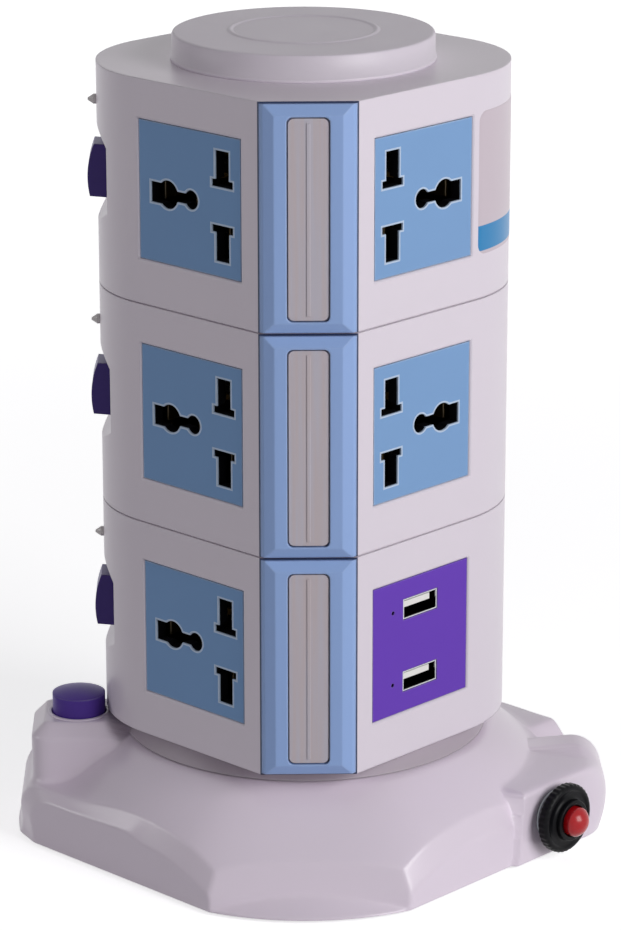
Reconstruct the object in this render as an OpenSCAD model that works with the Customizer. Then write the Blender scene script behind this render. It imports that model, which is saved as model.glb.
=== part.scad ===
// Tower power strip: three layers of sockets on a base that holds a cord reel.
// Millimetres, Z up. The tower axis is the Z axis and the ground is at zero.
// The front corner points along +X and -Y. The faces beside it look along -Y and +X.

/* [Tower] */
// Distance across the flat faces of the tower
tower_w = 104; // [102:1:112]
// Height of one layer from seam to seam
layer_h = 63.6; // [62.6:0.2:72]
// Depth of the chamfers on the front and back corners
chamfer_cut = 13.3; // [11.6:0.1:14.4]
// Radius of the two rounded corners
side_r = 37.5; // [35:0.5:40]
// Thickness of the casing walls and decks
wall = 2.4; // [2:0.1:2.8]
// Height of the open line at each seam
seam_h = 0.4; // [0.2:0.1:0.8]
// Depth of the open line at each seam
seam_d = 0.8; // [0.4:0.1:1.2]
// Height of the locating ridge on a deck
ridge_h = 3; // [2:0.5:5]
// Thickness of the locating ridge
ridge_t = 1.6; // [1.2:0.1:2]
// Distance of the tie rods from the inside of the busbar rings
rod_in = 8; // [6:0.5:12]
// Radius of a tie rod
rod_r = 2; // [1.5:0.1:2.5]
// Height of the sleeves that take the tie rods under the top deck
sleeve_h = 10; // [6:0.5:14]

/* [Fits] */
// Clearance between parts that are fitted together
fit = 0.15; // [0.1:0.05:0.2]
// Clearance between parts that move past each other
run = 0.3; // [0.3:0.05:0.4]
// Radial clearance of a pin or shaft in its bearing
bearing_fit = 0.05; // [0.03:0.01:0.08]

/* [Socket plates] */
// Width of the square window for a plate
plate_w = 39.3; // [39:0.1:41]
// Sideways shift of a plate from the middle of its face
plate_u = 6.7; // [6:0.1:7.5]
// Height of a plate's middle above the middle of its layer
plate_up = 0.9; // [0:0.1:2]
// Depth of a plate's front behind the casing face
plate_sink = 0.4; // [0.2:0.1:0.8]
// Width of the light bevel round a window
plate_bevel = 0.5; // [0.3:0.1:0.8]
// Overlap of the plate's flange behind the casing wall
plate_lip = 1.8; // [1.2:0.1:2.4]
// Thickness of the plate's flange
plate_flange = 1.5; // [1.2:0.1:2]
// Shift of the blade slots from the plate's middle
slot_u = 12.5; // [12:0.1:13]
// Height of each blade slot's middle from the plate's middle
slot_z = 10.3; // [10:0.1:10.8]
// Length of a blade slot
slot_l = 10.1; // [9.6:0.1:10.6]
// Width of a blade slot
slot_w = 5.3; // [5:0.1:5.8]
// Width of the wider inner end of a blade slot
flare_w = 8.2; // [7.6:0.1:8.8]
// Length of the wider inner end of a blade slot
flare_l = 2.1; // [1.6:0.1:2.6]
// Radius of the small earth hole
earth_r = 2.7; // [2.5:0.1:2.9]
// Shift of the small earth hole from the plate's middle
earth_u = 0.6; // [0:0.1:1]
// Radius of the large earth hole
earth_big_r = 4; // [3.8:0.1:4.2]
// Distance of the large earth hole from the small one
earth_gap = 9; // [8.6:0.1:9.4]
// Width of the neck between the two earth holes
earth_neck = 3; // [2.6:0.1:3.4]
// Height of the flat earth slot beside the large hole
earth_slot = 5.9; // [5.4:0.1:6.4]
// Length of the flat earth slot from the large hole's middle
earth_slot_l = 6.7; // [6.2:0.1:7.2]

/* [Charging plate] */
// Width of a charging port's opening
port_w = 14.3; // [14:0.1:15]
// Height of a charging port's opening
port_h = 6.2; // [6:0.1:6.8]
// Height of each port's middle from the plate's middle
port_z = 10.7; // [10:0.1:11.5]
// Thickness of a port's metal shell
port_shell = 0.35; // [0.3:0.05:0.5]
// Depth of a port's shell behind the plate's front
port_d = 14; // [12:0.5:15]
// Thickness of the contact tongue in a port
tongue_t = 1.8; // [1.4:0.1:2]
// Shift of the status lamps from the plate's middle
status_u = 11.3; // [10:0.1:12.5]
// Radius of a status lamp's hole
status_r = 0.6; // [0.5:0.1:0.8]
// Thickness of the circuit board
board_t = 1.6; // [1.2:0.1:2]
// Width of the circuit board
board_w = 34; // [32:0.5:36]

/* [Rocker switches] */
// Height of a rocker's middle above the middle of its layer
rocker_up = 0.3; // [0:0.1:1.2]
// Length of a rocker
rocker_h = 15; // [14:0.5:16]
// Width of a rocker
rocker_w = 10; // [9:0.5:11]
// Radius of the rocker's barrel face
barrel_r = 25; // [22:1:40]
// Distance of the rocker's crown from the flat behind it
rocker_rise = 5.6; // [5:0.1:6]
// Tilt of the rocker to each side
rocker_tilt = 5; // [4:0.5:6]
// Depth of the flat under the rocker behind the rounded corner
recess = 3; // [2.4:0.1:3.4]
// Distance from the rocker's middle down to the recess's lower end
recess_down = 13.7; // [13.4:0.1:14.5]
// Distance from the rocker's middle up to the recess's upper end
recess_up = 13.8; // [13.6:0.1:14.5]
// Height of the recess's lower ramp
ramp_lo = 4.1; // [3:0.1:4.5]
// Height of the recess's upper ramp
ramp_hi = 4.8; // [3:0.1:5]
// Depth of the rocker's pivot behind the flat
pivot_in = 3.8; // [3.6:0.1:4]
// Radius of the rocker's pivot pins
pivot_r = 1.2; // [1:0.1:1.4]
// Depth of the switch housing
housing_d = 8; // [7.6:0.1:8.2]
// Wall thickness of the switch housing
housing_t = 1.6; // [1.4:0.1:1.8]
// Gap between a rocker and its window
rocker_gap = 0.7; // [0.6:0.05:0.8]
// Distance from the recess's upper end up to the indicator lens
lens_up = 6.2; // [5:0.1:7]
// Radius of the indicator lens
lens_r = 1.45; // [1.2:0.05:1.8]
// Height of the lens point above the corner
lens_tip = 2.4; // [1.5:0.1:3]

/* [Corner frames] */
// Gap between a corner frame's ends and the seams
frame_gap = 0.5; // [0.5:0.1:1]
// Depth of the frame's straight edge
frame_edge = 1; // [0.8:0.1:1.4]
// Height of the frame's bevelled ridge
frame_rise = 1.5; // [1:0.1:2]
// Width of the frame's bevel
frame_bevel = 2.9; // [2:0.1:3]
// Width of the frame's opening
frame_open_w = 11.6; // [11:0.1:12.4]
// Height of the frame's solid ends
frame_end = 3.3; // [3:0.1:4.2]
// Corner radius of the frame's opening
frame_open_r = 1.6; // [1:0.1:2]
// Gap between the insert and the frame's opening
insert_gap = 0.4; // [0.2:0.05:0.5]
// Overlap of the insert's flange behind the frame
insert_lip = 1; // [0.6:0.1:1.2]
// Thickness of the insert's flange
insert_flange = 0.8; // [0.6:0.1:1]
// Width of the rib along the insert
insert_rib_w = 0.9; // [0.6:0.1:1.2]
// Height of the rib along the insert
insert_rib_h = 0.2; // [0.1:0.05:0.3]
// Radius of the pegs that hold a frame
peg_r = 1.2; // [1:0.1:1.4]

/* [Top cap] */
// Radius of the cap at its foot
cap_r = 37.2; // [35:0.1:40]
// Radius of the cap's side wall
cap_side_r = 36.8; // [34:0.1:36.9]
// Height of the cap's foot lip
cap_foot = 0.9; // [0.6:0.1:1.2]
// Height of the cap's straight side
cap_side_h = 6.8; // [6:0.1:8]
// Radius of the cap's rounded edge
cap_round = 0.8; // [0.5:0.1:1.6]
// Height of the cap's crown over its rounded edge
cap_crown = 0.6; // [0.3:0.1:1]
// Thickness of the cap
cap_wall = 1.8; // [1.5:0.1:2.2]
// Radius of the cap's locating pegs
cap_peg_r = 2; // [1.5:0.1:2.5]
// Distance of the cap's locating pegs from the axis
cap_peg_d = 14; // [10:0.5:18]

/* [Base shell] */
// Step of the collar's upper edge in from the tower's faces
collar_in = 3; // [2:0.5:5]
// Flare of the collar from its upper to its lower edge
collar_flare = 4; // [3:0.5:5]
// Height of the collar
collar_h = 5; // [4:0.5:7]
// Height of the base's round deck above the ground
deck_z = 32; // [31:0.5:34]
// Reach of the base's flat walls past the tower's faces
base_out = 19.5; // [19:0.1:21]
// Reach of the front and back facets past the base's flat walls
facet_out = 1.5; // [0.5:0.1:4]
// Distance from the rewind button's middle to its corner's wall
left_out = 16; // [15:0.5:18]
// Reach of the breaker corner's end past its walls
right_out = 13.8; // [13:0.2:14.6]
// Height of the rewind corner's lower body
slab_h = 18; // [17:0.5:20]
// Length of the rewind corner's lower body
lobe_l = 20; // [18:0.5:24]
// Size of the bevel on the lower body
slab_bevel = 3; // [2:0.5:4]
// Height of the dome's edge at the middle of the base's flat walls
dome_edge = 15.5; // [14.5:0.5:16.5]
// Radius of the dome's curved flank
dome_r = 88; // [60:1:90]
// Thickness of the base shell
shell_t = 2.2; // [2:0.1:2.4]
// Height of the shell's rim above the ground
rim_z = 1; // [0.6:0.1:1.2]
// Reach of the bowed skirt past the corner facets
skirt_out = 7; // [6:0.5:9]
// Distance of the bowed skirt's middle from the axis
skirt_c = 16; // [14:0.5:17]
// Height of the bowed skirt
skirt_h = 4.5; // [3:0.5:6]
// Width of the rewind corner's raised block
block_w = 25; // [24:0.5:27]
// Height of the rewind corner's raised block above the deck
block_rise = 3.2; // [2.6:0.1:4]
// Rounding of the raised block
block_round = 4.5; // [3:0.5:5]
// Step of the breaker corner's walls past the base's flat walls
pod_step = 1.5; // [1:0.1:2.5]
// Distance from the middle plane to the breaker corner's side
pod_in = 14.2; // [13:0.1:15]
// Drop of the breaker corner's top below the deck
pod_drop = 8; // [7:0.5:8]
// Fall of the breaker corner's top towards its far side
pod_fall = 3.6; // [2.4:0.2:3.6]
// Width of that fall
pod_fall_w = 12; // [8:1:14]
// Size of the slanted edge over the breaker
pod_slant = 1.5; // [1:0.5:2.5]

/* [Base floor and feet] */
// Height of the floor's underside above the ground
floor_z = 1.4; // [1.2:0.1:1.6]
// Thickness of the floor
floor_t = 2.4; // [2.2:0.1:3]
// Gap between the floor and the shell
floor_gap = 0.3; // [0.2:0.1:0.5]
// Radius of a rubber foot
foot_r = 6; // [5:0.5:7]
// Distance of the outer feet from the corner facets
foot_in = 13; // [12.5:0.5:15]
// Radius of a foot's stud
stud_r = 2; // [1.5:0.1:2.5]
// Distance of the floor screws from the base's flat walls
screw_in = 9.5; // [8.5:0.5:10.5]
// Radius of a screw's shank
screw_r = 1.5; // [1.2:0.1:1.8]
// Radius of a screw's head
head_r = 2.7; // [2.5:0.1:3]
// Thickness of a screw's head
head_t = 1.3; // [1:0.1:1.5]
// Length of a screw's shank
screw_l = 10; // [8:0.5:12]
// Radius of a screw boss
boss_r = 3.6; // [3.4:0.1:4]

/* [Cord reel] */
// Radius of the reel's spindle
spindle_r = 4; // [3.5:0.1:4.5]
// Radius of the spindle's foot
spindle_foot_r = 12; // [10:0.5:14]
// Thickness of the spindle's foot
spindle_foot = 0.8; // [0.6:0.1:0.9]
// Radius of the drum's hub
hub_r = 18; // [17:0.5:20]
// Height of the drum's underside above the ground
drum_z = 5; // [5:0.1:5.4]
// Thickness of the drum's flanges
flange_t = 1.6; // [1.4:0.1:1.8]
// Thickness of the drum's hub wall and brake rim
hub_t = 2; // [1.6:0.1:2.4]
// Thickness of the drum's web round the spindle
web_t = 6.2; // [5:0.2:7]
// Height of the brake rim
brake_rim_h = 5; // [4.8:0.1:5.4]
// Radius of the holes in the drum's upper flange, as a share of its free ring
drum_hole_share = 0.18; // [0.14:0.01:0.22]
// Radius of the smallest slip ring's middle
slip_r = 10; // [9:0.5:11]
// Step from one slip ring to the next
slip_step = 6; // [5.5:0.1:6.5]
// Width of a slip ring
slip_w = 3.2; // [2.6:0.1:3.6]
// Thickness of a slip ring
slip_t = 0.6; // [0.4:0.1:0.7]
// Length of a carbon brush below its holder
brush_l = 2.9; // [2.4:0.1:3.4]
// Width of a carbon brush
brush_w = 3; // [2.4:0.1:3.2]
// Depth of the brush holder
holder_h = 5.8; // [5:0.1:6]
// Width of the brush holder
holder_w = 12; // [10:0.5:14]
// Thickness of the power spring's strip
spring_t = 0.5; // [0.4:0.1:0.6]
// Radius of the cord outlet
cord_r = 3.6; // [3.4:0.1:3.7]
// Place of the cord outlet along its wall
cord_u = 27; // [26:0.1:28]
// Height of the cord outlet above the ground
cord_z = 11; // [10.8:0.1:11.4]
// Wall thickness of the cord bush
bush_t = 1.8; // [1.5:0.1:1.9]
// Thickness of the cord bush's flanges
bush_flange = 2; // [1.5:0.1:2.5]
// Overlap of the cord bush's flanges on the wall
bush_lip = 1.2; // [1:0.1:1.3]

/* [Rewind brake] */
// Distance of the rewind button's middle past the tower's rounded corner
button_out = 8; // [7.6:0.1:8.5]
// Place of the rewind button across the rewind corner's diagonal
button_y = -4; // [-5:0.1:-3]
// Radius of the rewind button
button_r = 7.7; // [7.2:0.1:8]
// Height of the rewind button above its block
button_rise = 7; // [6.4:0.1:7.6]
// Height of the rewind button's crown
button_crown = 1.2; // [0.8:0.1:1.6]
// Overlap of the button's flange under the block
button_lip = 1.4; // [1:0.1:1.6]
// Thickness of the button's flange
button_flange = 1.8; // [1.4:0.1:2]
// Radius of the button's stem
stem_r = 3.5; // [3:0.1:4]
// Travel of the rewind button
button_travel = 4.5; // [4:0.1:4.6]
// Movement of the brake shoe when the button is pressed
shoe_move = 1.46; // [1.2:0.02:1.5]
// Distance from the brake lever's tail to the button's middle
wedge_l = 10.1; // [9.8:0.1:11]
// Thickness of the brake lever
lever_t = 4; // [3.6:0.1:4.2]
// Width of the brake lever's arm
lever_w = 4; // [3:0.1:4.4]
// Gap between the brake lever's arm and the drum
lever_gap = 3; // [2.8:0.1:3.4]
// Half of the angle that the brake lever spans, in degrees
lever_angle = 16; // [15:0.5:18]
// Length of the brake lever's tail past its arm
tail_l = 4; // [3.6:0.1:4.4]
// Width of the brake lever's tail
tail_w = 5; // [4:0.5:6]
// Radius of the brake lever's pin
brake_pin_r = 1.5; // [1.2:0.1:1.8]
// Radius of the rewind spring
coil_r = 3.2; // [3:0.1:3.4]
// Wire thickness of the rewind spring
coil_t = 0.8; // [0.6:0.1:1]

/* [Breaker] */
// Place of the breaker along its wall
breaker_y = 27.2; // [26.5:0.1:28]
// Height of the breaker's middle above the ground
breaker_z = 13; // [12.5:0.1:13.5]
// Radius of the breaker's threaded neck
neck_r = 7.6; // [7:0.1:8]
// Distance of the breaker's ring from the wall
ring_off = 3; // [2:0.1:4]
// Radius of the breaker's ring
ring_r = 10.2; // [9.8:0.1:10.6]
// Thickness of the breaker's ring
ring_t = 3; // [2.4:0.1:3.4]
// Thickness of the ring's front web round the reset button
ring_web = 1; // [0.8:0.1:1.2]
// Rise of the ring's hub over its face
ring_hub_rise = 2; // [1.4:0.1:2.6]
// Wall thickness of the ring's hub
ring_hub_t = 1.7; // [1.4:0.1:2]
// Radius of the reset button
reset_r = 4.3; // [4:0.1:4.6]
// Height of the reset button above the ring
reset_rise = 6.2; // [5.6:0.1:7]
// Travel of the reset button
reset_travel = 2.5; // [2:0.1:3]
// Length of the breaker's body
breaker_l = 19; // [18:0.5:20]
// Width of the breaker's body
breaker_w = 17; // [16.5:0.5:18]

/* [Contacts] */
// Distance from the tower's faces to the inside of the busbar rings
bar_in = 22; // [21.6:0.1:23]
// Thickness of the busbar strip
bar_t = 0.8; // [0.6:0.1:0.9]
// Height of the busbar strip
bar_h = 6; // [5:0.2:6.4]
// Gap between the contact leaves and the plates
leaf_gap = 2.1; // [1.6:0.1:4]
// Distance of the riser strips' middles from the ends of the busbar rings
riser_in = 8; // [7.5:0.1:8.5]
// Width of a riser strip
riser_w = 5; // [4:0.1:5.4]
// Distance of a riser strip from its ring
riser_gap = 2.5; // [2.2:0.1:2.7]
// Wall thickness of the contact carrier
carrier_t = 2; // [1.6:0.1:2.4]
// Thickness of the shelves under the busbar rings
shelf_t = 1.2; // [1:0.1:1.6]
// Depth of the shelves past the carrier's wall
shelf_w = 2.5; // [2:0.1:2.8]

/* [Hidden] */
$fn = 64;
// Overrun of every cut
over = 1;

half_w = tower_w / 2;
tower_z = deck_z + collar_h;
corner_c = half_w - side_r;
corner_d = corner_c * sqrt(2) + side_r;
chamfer_d = half_w * sqrt(2) - chamfer_cut;
wall_in = half_w - wall;
plate_z = layer_h / 2 + plate_up;
plate_back = wall_in - plate_flange;
plate_front = half_w - plate_sink;
rocker_z = layer_h / 2 + rocker_up;
recess_lo = rocker_z - recess_down;
recess_hi = rocker_z + recess_up;
lens_z = recess_hi + lens_up;
recess_d = corner_d - recess;
pad_d = recess_d - wall;
pivot_d = recess_d - pivot_in;
frame_h = layer_h - 2 * frame_gap;
frame_open_h = frame_h - 2 * frame_end;
frame_front = chamfer_d + frame_edge + frame_rise;
port_back = plate_front - port_d;
leaf_d = plate_back - leaf_gap;
bar_d = half_w - bar_in;
riser_d = bar_d + bar_t + riser_gap;
riser_u = riser_in - bar_d;
rod_u = bar_d - rod_in;

collar_top_r = half_w - collar_in;
collar_r = collar_top_r + collar_flare;
base_w = tower_w + 2 * base_out;
facet_d = base_w / 2 + facet_out;
pod_w = base_w / 2 + pod_step;
right_d = pod_w + right_out;
pod_z = deck_z - pod_drop;
block_z = deck_z + block_rise;
skirt_r = facet_d - skirt_c + skirt_out;
reach = 2 * base_w;
foot_d = facet_d - foot_in;
screw_d = base_w / 2 - screw_in;
floor_top = floor_z + floor_t;
ceiling = deck_z - shell_t;
nut_h = 3;
rod_end = 1;

button_x = -(corner_d + button_out);
button_a = 45 + atan2(button_y, button_x);
button_d = norm([button_x, button_y]);
left_d = left_out - button_x;
tail_d = button_d - wedge_l;
lever_r = tail_d - tail_l - lever_w;
lever_pivot = lever_r + lever_w / 2;
lever_z = drum_z + (brake_rim_h - lever_t) / 2;
drum_r = lever_r - lever_gap;
drum_top = ceiling - holder_h - brush_l - run - slip_t;
spring_h = drum_top - web_t - drum_z - 2 * run;
slip_edge = slip_r + 2 * slip_step + slip_w / 2;

// Colours as the object shows them
white = [0.93, 0.92, 0.95];
blue = [0.56, 0.69, 0.86];
frame_blue = [0.60, 0.74, 0.94];
purple = [0.40, 0.24, 0.72];
black = [0.08, 0.08, 0.09];
brass = [0.80, 0.65, 0.30];
steel = [0.75, 0.76, 0.78];
nylon = [0.85, 0.84, 0.80];

// Puts children on a layer, counted from one at the bottom
module at_layer(i) {
    translate([0, 0, tower_z + (i - 1) * layer_h]) children();
}

// Turns the front face's children to a face: 0 front, 1 right, 2 back, 3 left
module on_face(f) {
    rotate(f > 1 ? 180 : 0) mirror(f % 2 == 1 ? [1, 1, 0] : [0, 0, 0]) children();
}

// Extrudes a flat shape, drawn across and up, between two distances from the axis
module face_slab(d0, d1) {
    translate([0, -d0, 0]) rotate([90, 0, 0]) linear_extrude(d1 - d0) children();
}

// Extrudes a profile, drawn outward and up, to both sides of the middle plane
module mid_prism(w) {
    translate([0, w / 2, 0]) rotate([90, 0, 0]) linear_extrude(w) children();
}

// Rectangle with round corners
module round_rect(w, h, r) {
    square([w - 2 * r, h], center = true);
    square([w, h - 2 * r], center = true);
    for (x = [-1, 1], y = [-1, 1]) translate([x * (w / 2 - r), y * (h / 2 - r)]) circle(r);
}

// Outline of the tower, drawn in by an inset
module tower_plan(inset) {
    difference() {
        intersection() {
            square(tower_w - 2 * inset, center = true);
            rotate(-45) square([2 * (chamfer_d - inset), 2 * tower_w], center = true);
        }
        for (a = [0, 180]) rotate(a) translate([corner_c, corner_c]) difference() {
            square(side_r + over);
            circle(side_r - inset);
        }
    }
}

// Height of a carrier's or rod space's lower end in a layer
function layer_floor(i) = i == 1 ? wall : 0;

// Faces of a layer that hold sockets
function socket_faces(i) = i == 1 ? [0, 2, 3] : [0, 1, 2, 3];

// Places of the rounded switch corner and of the chamfered corners
module on_switch_corner() {
    rotate(225) children();
}
module on_chamfer(s) {
    rotate(-45 + s * 180) children();
}

// Window for a plate with a light bevel at its mouth
module plate_window() {
    translate([plate_u, 0, plate_z]) {
        face_slab(wall_in - over, half_w + over) square(plate_w, center = true);
        intersection() {
            face_slab(wall_in, half_w + over) square(plate_w + 2 * plate_bevel, center = true);
            plate_bevel_prism();
            rotate([0, 90, 0]) plate_bevel_prism();
        }
    }
}

// Trapezoid that opens by the bevel towards the outside
module plate_bevel_prism() {
    a = plate_w / 2;
    b = plate_bevel + over;
    translate([0, 0, -plate_w]) linear_extrude(2 * plate_w) polygon([
        [-a, -(half_w - plate_bevel)], [a, -(half_w - plate_bevel)],
        [a + b, -(half_w + over)], [-a - b, -(half_w + over)]
    ]);
}

// Strips through the decks for the riser strips
module riser_holes() {
    for (f = [0, 2, 3]) on_face(f) face_slab(riser_d - 2 * fit, riser_d + bar_t + 2 * fit)
        translate([riser_u, 0]) square([riser_w + 4 * fit, 4 * wall], center = true);
}

module rod_places() {
    for (x = [-1, 1], y = [-1, 1]) translate([x * rod_u, y * rod_u, 0]) children();
}

// Casing of one layer
module layer_casing(i) {
    color(white) at_layer(i) difference() {
        union() {
            difference() {
                linear_extrude(layer_h) tower_plan(0);
                translate([0, 0, -over]) linear_extrude(layer_h - wall + over) tower_plan(wall);
                if (i > 1) translate([0, 0, -over]) linear_extrude(seam_h + over) difference() {
                    tower_plan(-over);
                    tower_plan(seam_d);
                }
            }
            intersection() {
                translate([0, 0, recess_lo - wall])
                    linear_extrude(recess_hi - recess_lo + 2 * wall) tower_plan(wall / 2);
                on_switch_corner() translate([pad_d, -half_w, 0]) cube([side_r, tower_w, layer_h]);
            }
            if (i < 3) translate([0, 0, layer_h]) linear_extrude(ridge_h) difference() {
                tower_plan(wall + fit);
                tower_plan(wall + fit + ridge_t);
            }
            if (i == 3) rod_places() translate([0, 0, layer_h - wall - sleeve_h])
                cylinder(h = sleeve_h + wall / 2, r = rod_r + wall);
        }
        for (f = [0 : 3]) on_face(f) plate_window();
        on_switch_corner() {
            mid_prism(tower_w) polygon([
                [recess_d, recess_lo + ramp_lo], [corner_d, recess_lo], [corner_d + over, recess_lo - over],
                [corner_d + over, recess_hi + over], [corner_d, recess_hi], [recess_d, recess_hi - ramp_hi]
            ]);
            translate([pad_d - over, -rocker_w / 2 - rocker_gap / 2, rocker_z - rocker_h / 2 - rocker_gap])
                cube([wall + 2 * over, rocker_w + rocker_gap, rocker_h + 2 * rocker_gap]);
            translate([corner_d - wall - over, 0, lens_z]) rotate([0, 90, 0])
                cylinder(h = wall + 2 * over, r = lens_r + fit);
        }
        for (s = [0, 1]) on_chamfer(s) peg_places() translate([-wall - over, 0, 0]) rotate([0, 90, 0])
            cylinder(h = wall + 2 * over, r = peg_r + fit);
        if (i < 3) translate([0, 0, layer_h]) {
            riser_holes();
            rod_places() translate([0, 0, -wall - over]) cylinder(h = wall + 2 * over, r = rod_r + fit);
        }
        if (i == 3) {
            rod_places() translate([0, 0, layer_h - wall - sleeve_h - over])
                cylinder(h = sleeve_h + over, r = rod_r + fit);
            cap_pegs(cap_peg_r + fit, layer_h - wall - over, wall + 2 * over);
        }
    }
}

// Places of a frame's pegs on a chamfered wall
module peg_places() {
    u = (frame_open_w / 2 + insert_lip + chamfer_half) / 2;
    for (y = [-1, 1], z = [-1, 1])
        translate([chamfer_d, y * u, layer_h / 2 + z * frame_open_h / 3]) children();
}
chamfer_half = half_w * sqrt(2) - chamfer_d - fit;

// Bevelled frames over the two chamfered corners of a layer
module corner_frames(i) {
    color(frame_blue) at_layer(i) for (s = [0, 1]) on_chamfer(s) {
        difference() {
            intersection() {
                translate([0, 0, frame_gap]) linear_extrude(frame_h) polygon([
                    [chamfer_d, -chamfer_half], [chamfer_d, chamfer_half],
                    [chamfer_d + frame_edge, chamfer_half - frame_edge],
                    [frame_front, chamfer_half - frame_edge - frame_bevel],
                    [frame_front, -(chamfer_half - frame_edge - frame_bevel)],
                    [chamfer_d + frame_edge, -(chamfer_half - frame_edge)]
                ]);
                translate([0, 0, frame_gap]) mid_prism(tower_w) polygon([
                    [chamfer_d, 0], [chamfer_d + frame_edge, 0], [frame_front, frame_bevel],
                    [frame_front, frame_h - frame_bevel], [chamfer_d + frame_edge, frame_h],
                    [chamfer_d, frame_h]
                ]);
            }
            insert_prism(chamfer_d - over, frame_front + over, 0);
            insert_prism(chamfer_d - over, chamfer_d + insert_flange + fit, insert_lip + fit);
        }
        peg_places() translate([-wall, 0, 0]) rotate([0, 90, 0])
            cylinder(h = wall + frame_edge / 2, r = peg_r);
    }
}

// Round-cornered block as large as a frame's opening, grown by an amount
module insert_prism(d0, d1, grow) {
    translate([0, 0, layer_h / 2]) rotate(90) face_slab(d0, d1)
        round_rect(frame_open_w + 2 * grow, frame_open_h + 2 * grow, frame_open_r);
}

// Pale inserts in the corner frames
module corner_inserts(i) {
    color(nylon) at_layer(i) for (s = [0, 1]) on_chamfer(s) {
        insert_prism(chamfer_d, frame_front - insert_gap, -insert_gap);
        insert_prism(chamfer_d, chamfer_d + insert_flange, insert_lip);
        translate([chamfer_d, -insert_rib_w / 2, (layer_h - frame_open_h) / 2 + frame_open_r])
            cube([frame_front - insert_gap + insert_rib_h - chamfer_d, insert_rib_w,
                frame_open_h - 2 * frame_open_r]);
    }
}

// Socket holes of one plate, drawn round the plate's middle
module socket_holes() {
    for (s = [-1, 1]) {
        translate([slot_u, s * slot_z]) square([slot_w, slot_l], center = true);
        translate([slot_u, s * (slot_z - slot_l / 2 + flare_l / 2)])
            square([flare_w, flare_l], center = true);
    }
    translate([earth_u, 0]) {
        circle(earth_r);
        translate([-earth_gap, 0]) circle(earth_big_r);
        translate([-earth_gap / 2, 0]) square([earth_gap, earth_neck], center = true);
        translate([-earth_gap - earth_slot_l, -earth_slot / 2]) square([earth_slot_l, earth_slot]);
    }
}

// Plate body without holes
module plate_blank() {
    face_slab(plate_back, plate_front) square(plate_w - 2 * fit, center = true);
    face_slab(plate_back, wall_in) square(plate_w + 2 * plate_lip, center = true);
}

module socket_plate(f, i) {
    color(blue) at_layer(i) on_face(f) translate([plate_u, 0, plate_z]) difference() {
        plate_blank();
        face_slab(plate_back - over, plate_front + over) socket_holes();
    }
}

// Places of the two charging ports on the right face
module port_places() {
    at_layer(1) on_face(1) for (s = [-1, 1]) translate([plate_u, 0, plate_z + s * port_z]) children();
}

module usb_plate() {
    color(purple) difference() {
        at_layer(1) on_face(1) translate([plate_u, 0, plate_z]) plate_blank();
        port_places() face_slab(plate_back - over, plate_front + over) {
            square([port_w, port_h], center = true);
            translate([status_u, 0]) circle(status_r);
        }
    }
}

module usb_shells() {
    color(steel) port_places() difference() {
        face_slab(port_back, plate_front - fit) square([port_w - 2 * fit, port_h - 2 * fit], center = true);
        face_slab(port_back - over, plate_front + over)
            square([port_w - 2 * fit - 2 * port_shell, port_h - 2 * fit - 2 * port_shell], center = true);
    }
}

module usb_tongues() {
    color(white) port_places() face_slab(port_back, plate_front - plate_flange)
        translate([0, port_h / 2 - fit - port_shell - tongue_t])
            square([port_w * 3 / 4, tongue_t], center = true);
}

module usb_board() {
    color([0.1, 0.35, 0.2]) at_layer(1) on_face(1) translate([plate_u, 0, plate_z])
        face_slab(port_back - board_t, port_back) square(board_w, center = true);
}

// Rocker with its pivot pins, tilted to its off side
module rocker_switch(i) {
    color(purple) at_layer(i) on_switch_corner() translate([pivot_d, 0, rocker_z])
        rotate([0, -rocker_tilt, 0]) {
            mid_prism(rocker_w) intersection() {
                translate([pivot_in + rocker_rise - barrel_r, 0]) circle(barrel_r);
                translate([-pivot_r - housing_t / 2, -rocker_h / 2])
                    square([pivot_in + rocker_rise + pivot_r + housing_t, rocker_h]);
            }
            rotate([90, 0, 0]) cylinder(h = rocker_w + rocker_gap + 2 * housing_t - 2 * fit, r = pivot_r,
                center = true);
        }
}

module rocker_housing(i) {
    w = rocker_w + rocker_gap;
    h = rocker_h + 2 * rocker_gap + 2 * fit;
    color(black) at_layer(i) on_switch_corner() translate([pad_d, 0, rocker_z]) difference() {
        translate([-housing_d, -w / 2 - housing_t, -h / 2 - housing_t])
            cube([housing_d, w + 2 * housing_t, h + 2 * housing_t]);
        translate([housing_t - housing_d, -w / 2, -h / 2]) cube([housing_d, w, h]);
        translate([pivot_d - pad_d, 0, 0]) rotate([90, 0, 0])
            cylinder(h = w + 2 * housing_t + 2 * over, r = pivot_r + bearing_fit, center = true);
    }
}

module indicator_lenses() {
    color([0.95, 0.95, 0.92]) for (i = [1 : 3]) at_layer(i) on_switch_corner()
        translate([corner_d, 0, lens_z]) rotate([0, 90, 0]) {
            translate([0, 0, -wall - lens_r]) cylinder(h = wall + lens_r + lens_tip / 3, r = lens_r);
            translate([0, 0, lens_tip / 3]) cylinder(h = 2 * lens_tip / 3, r1 = lens_r, r2 = lens_r / 4);
        }
}

// Plate that closes the tower below
module tower_floor() {
    color(white) translate([0, 0, tower_z]) difference() {
        linear_extrude(wall) tower_plan(wall + fit);
        rod_places() translate([0, 0, -over]) cylinder(h = wall + 2 * over, r = rod_r + fit);
        translate([0, 0, -over]) cylinder(h = wall + 2 * over, r = hub_r / 2);
    }
}

// Round holes or pegs under the cap
module cap_pegs(r, z, h) {
    for (a = [0 : 120 : 240]) rotate(a) translate([cap_peg_d, 0, z]) cylinder(h = h, r = r);
}

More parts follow.
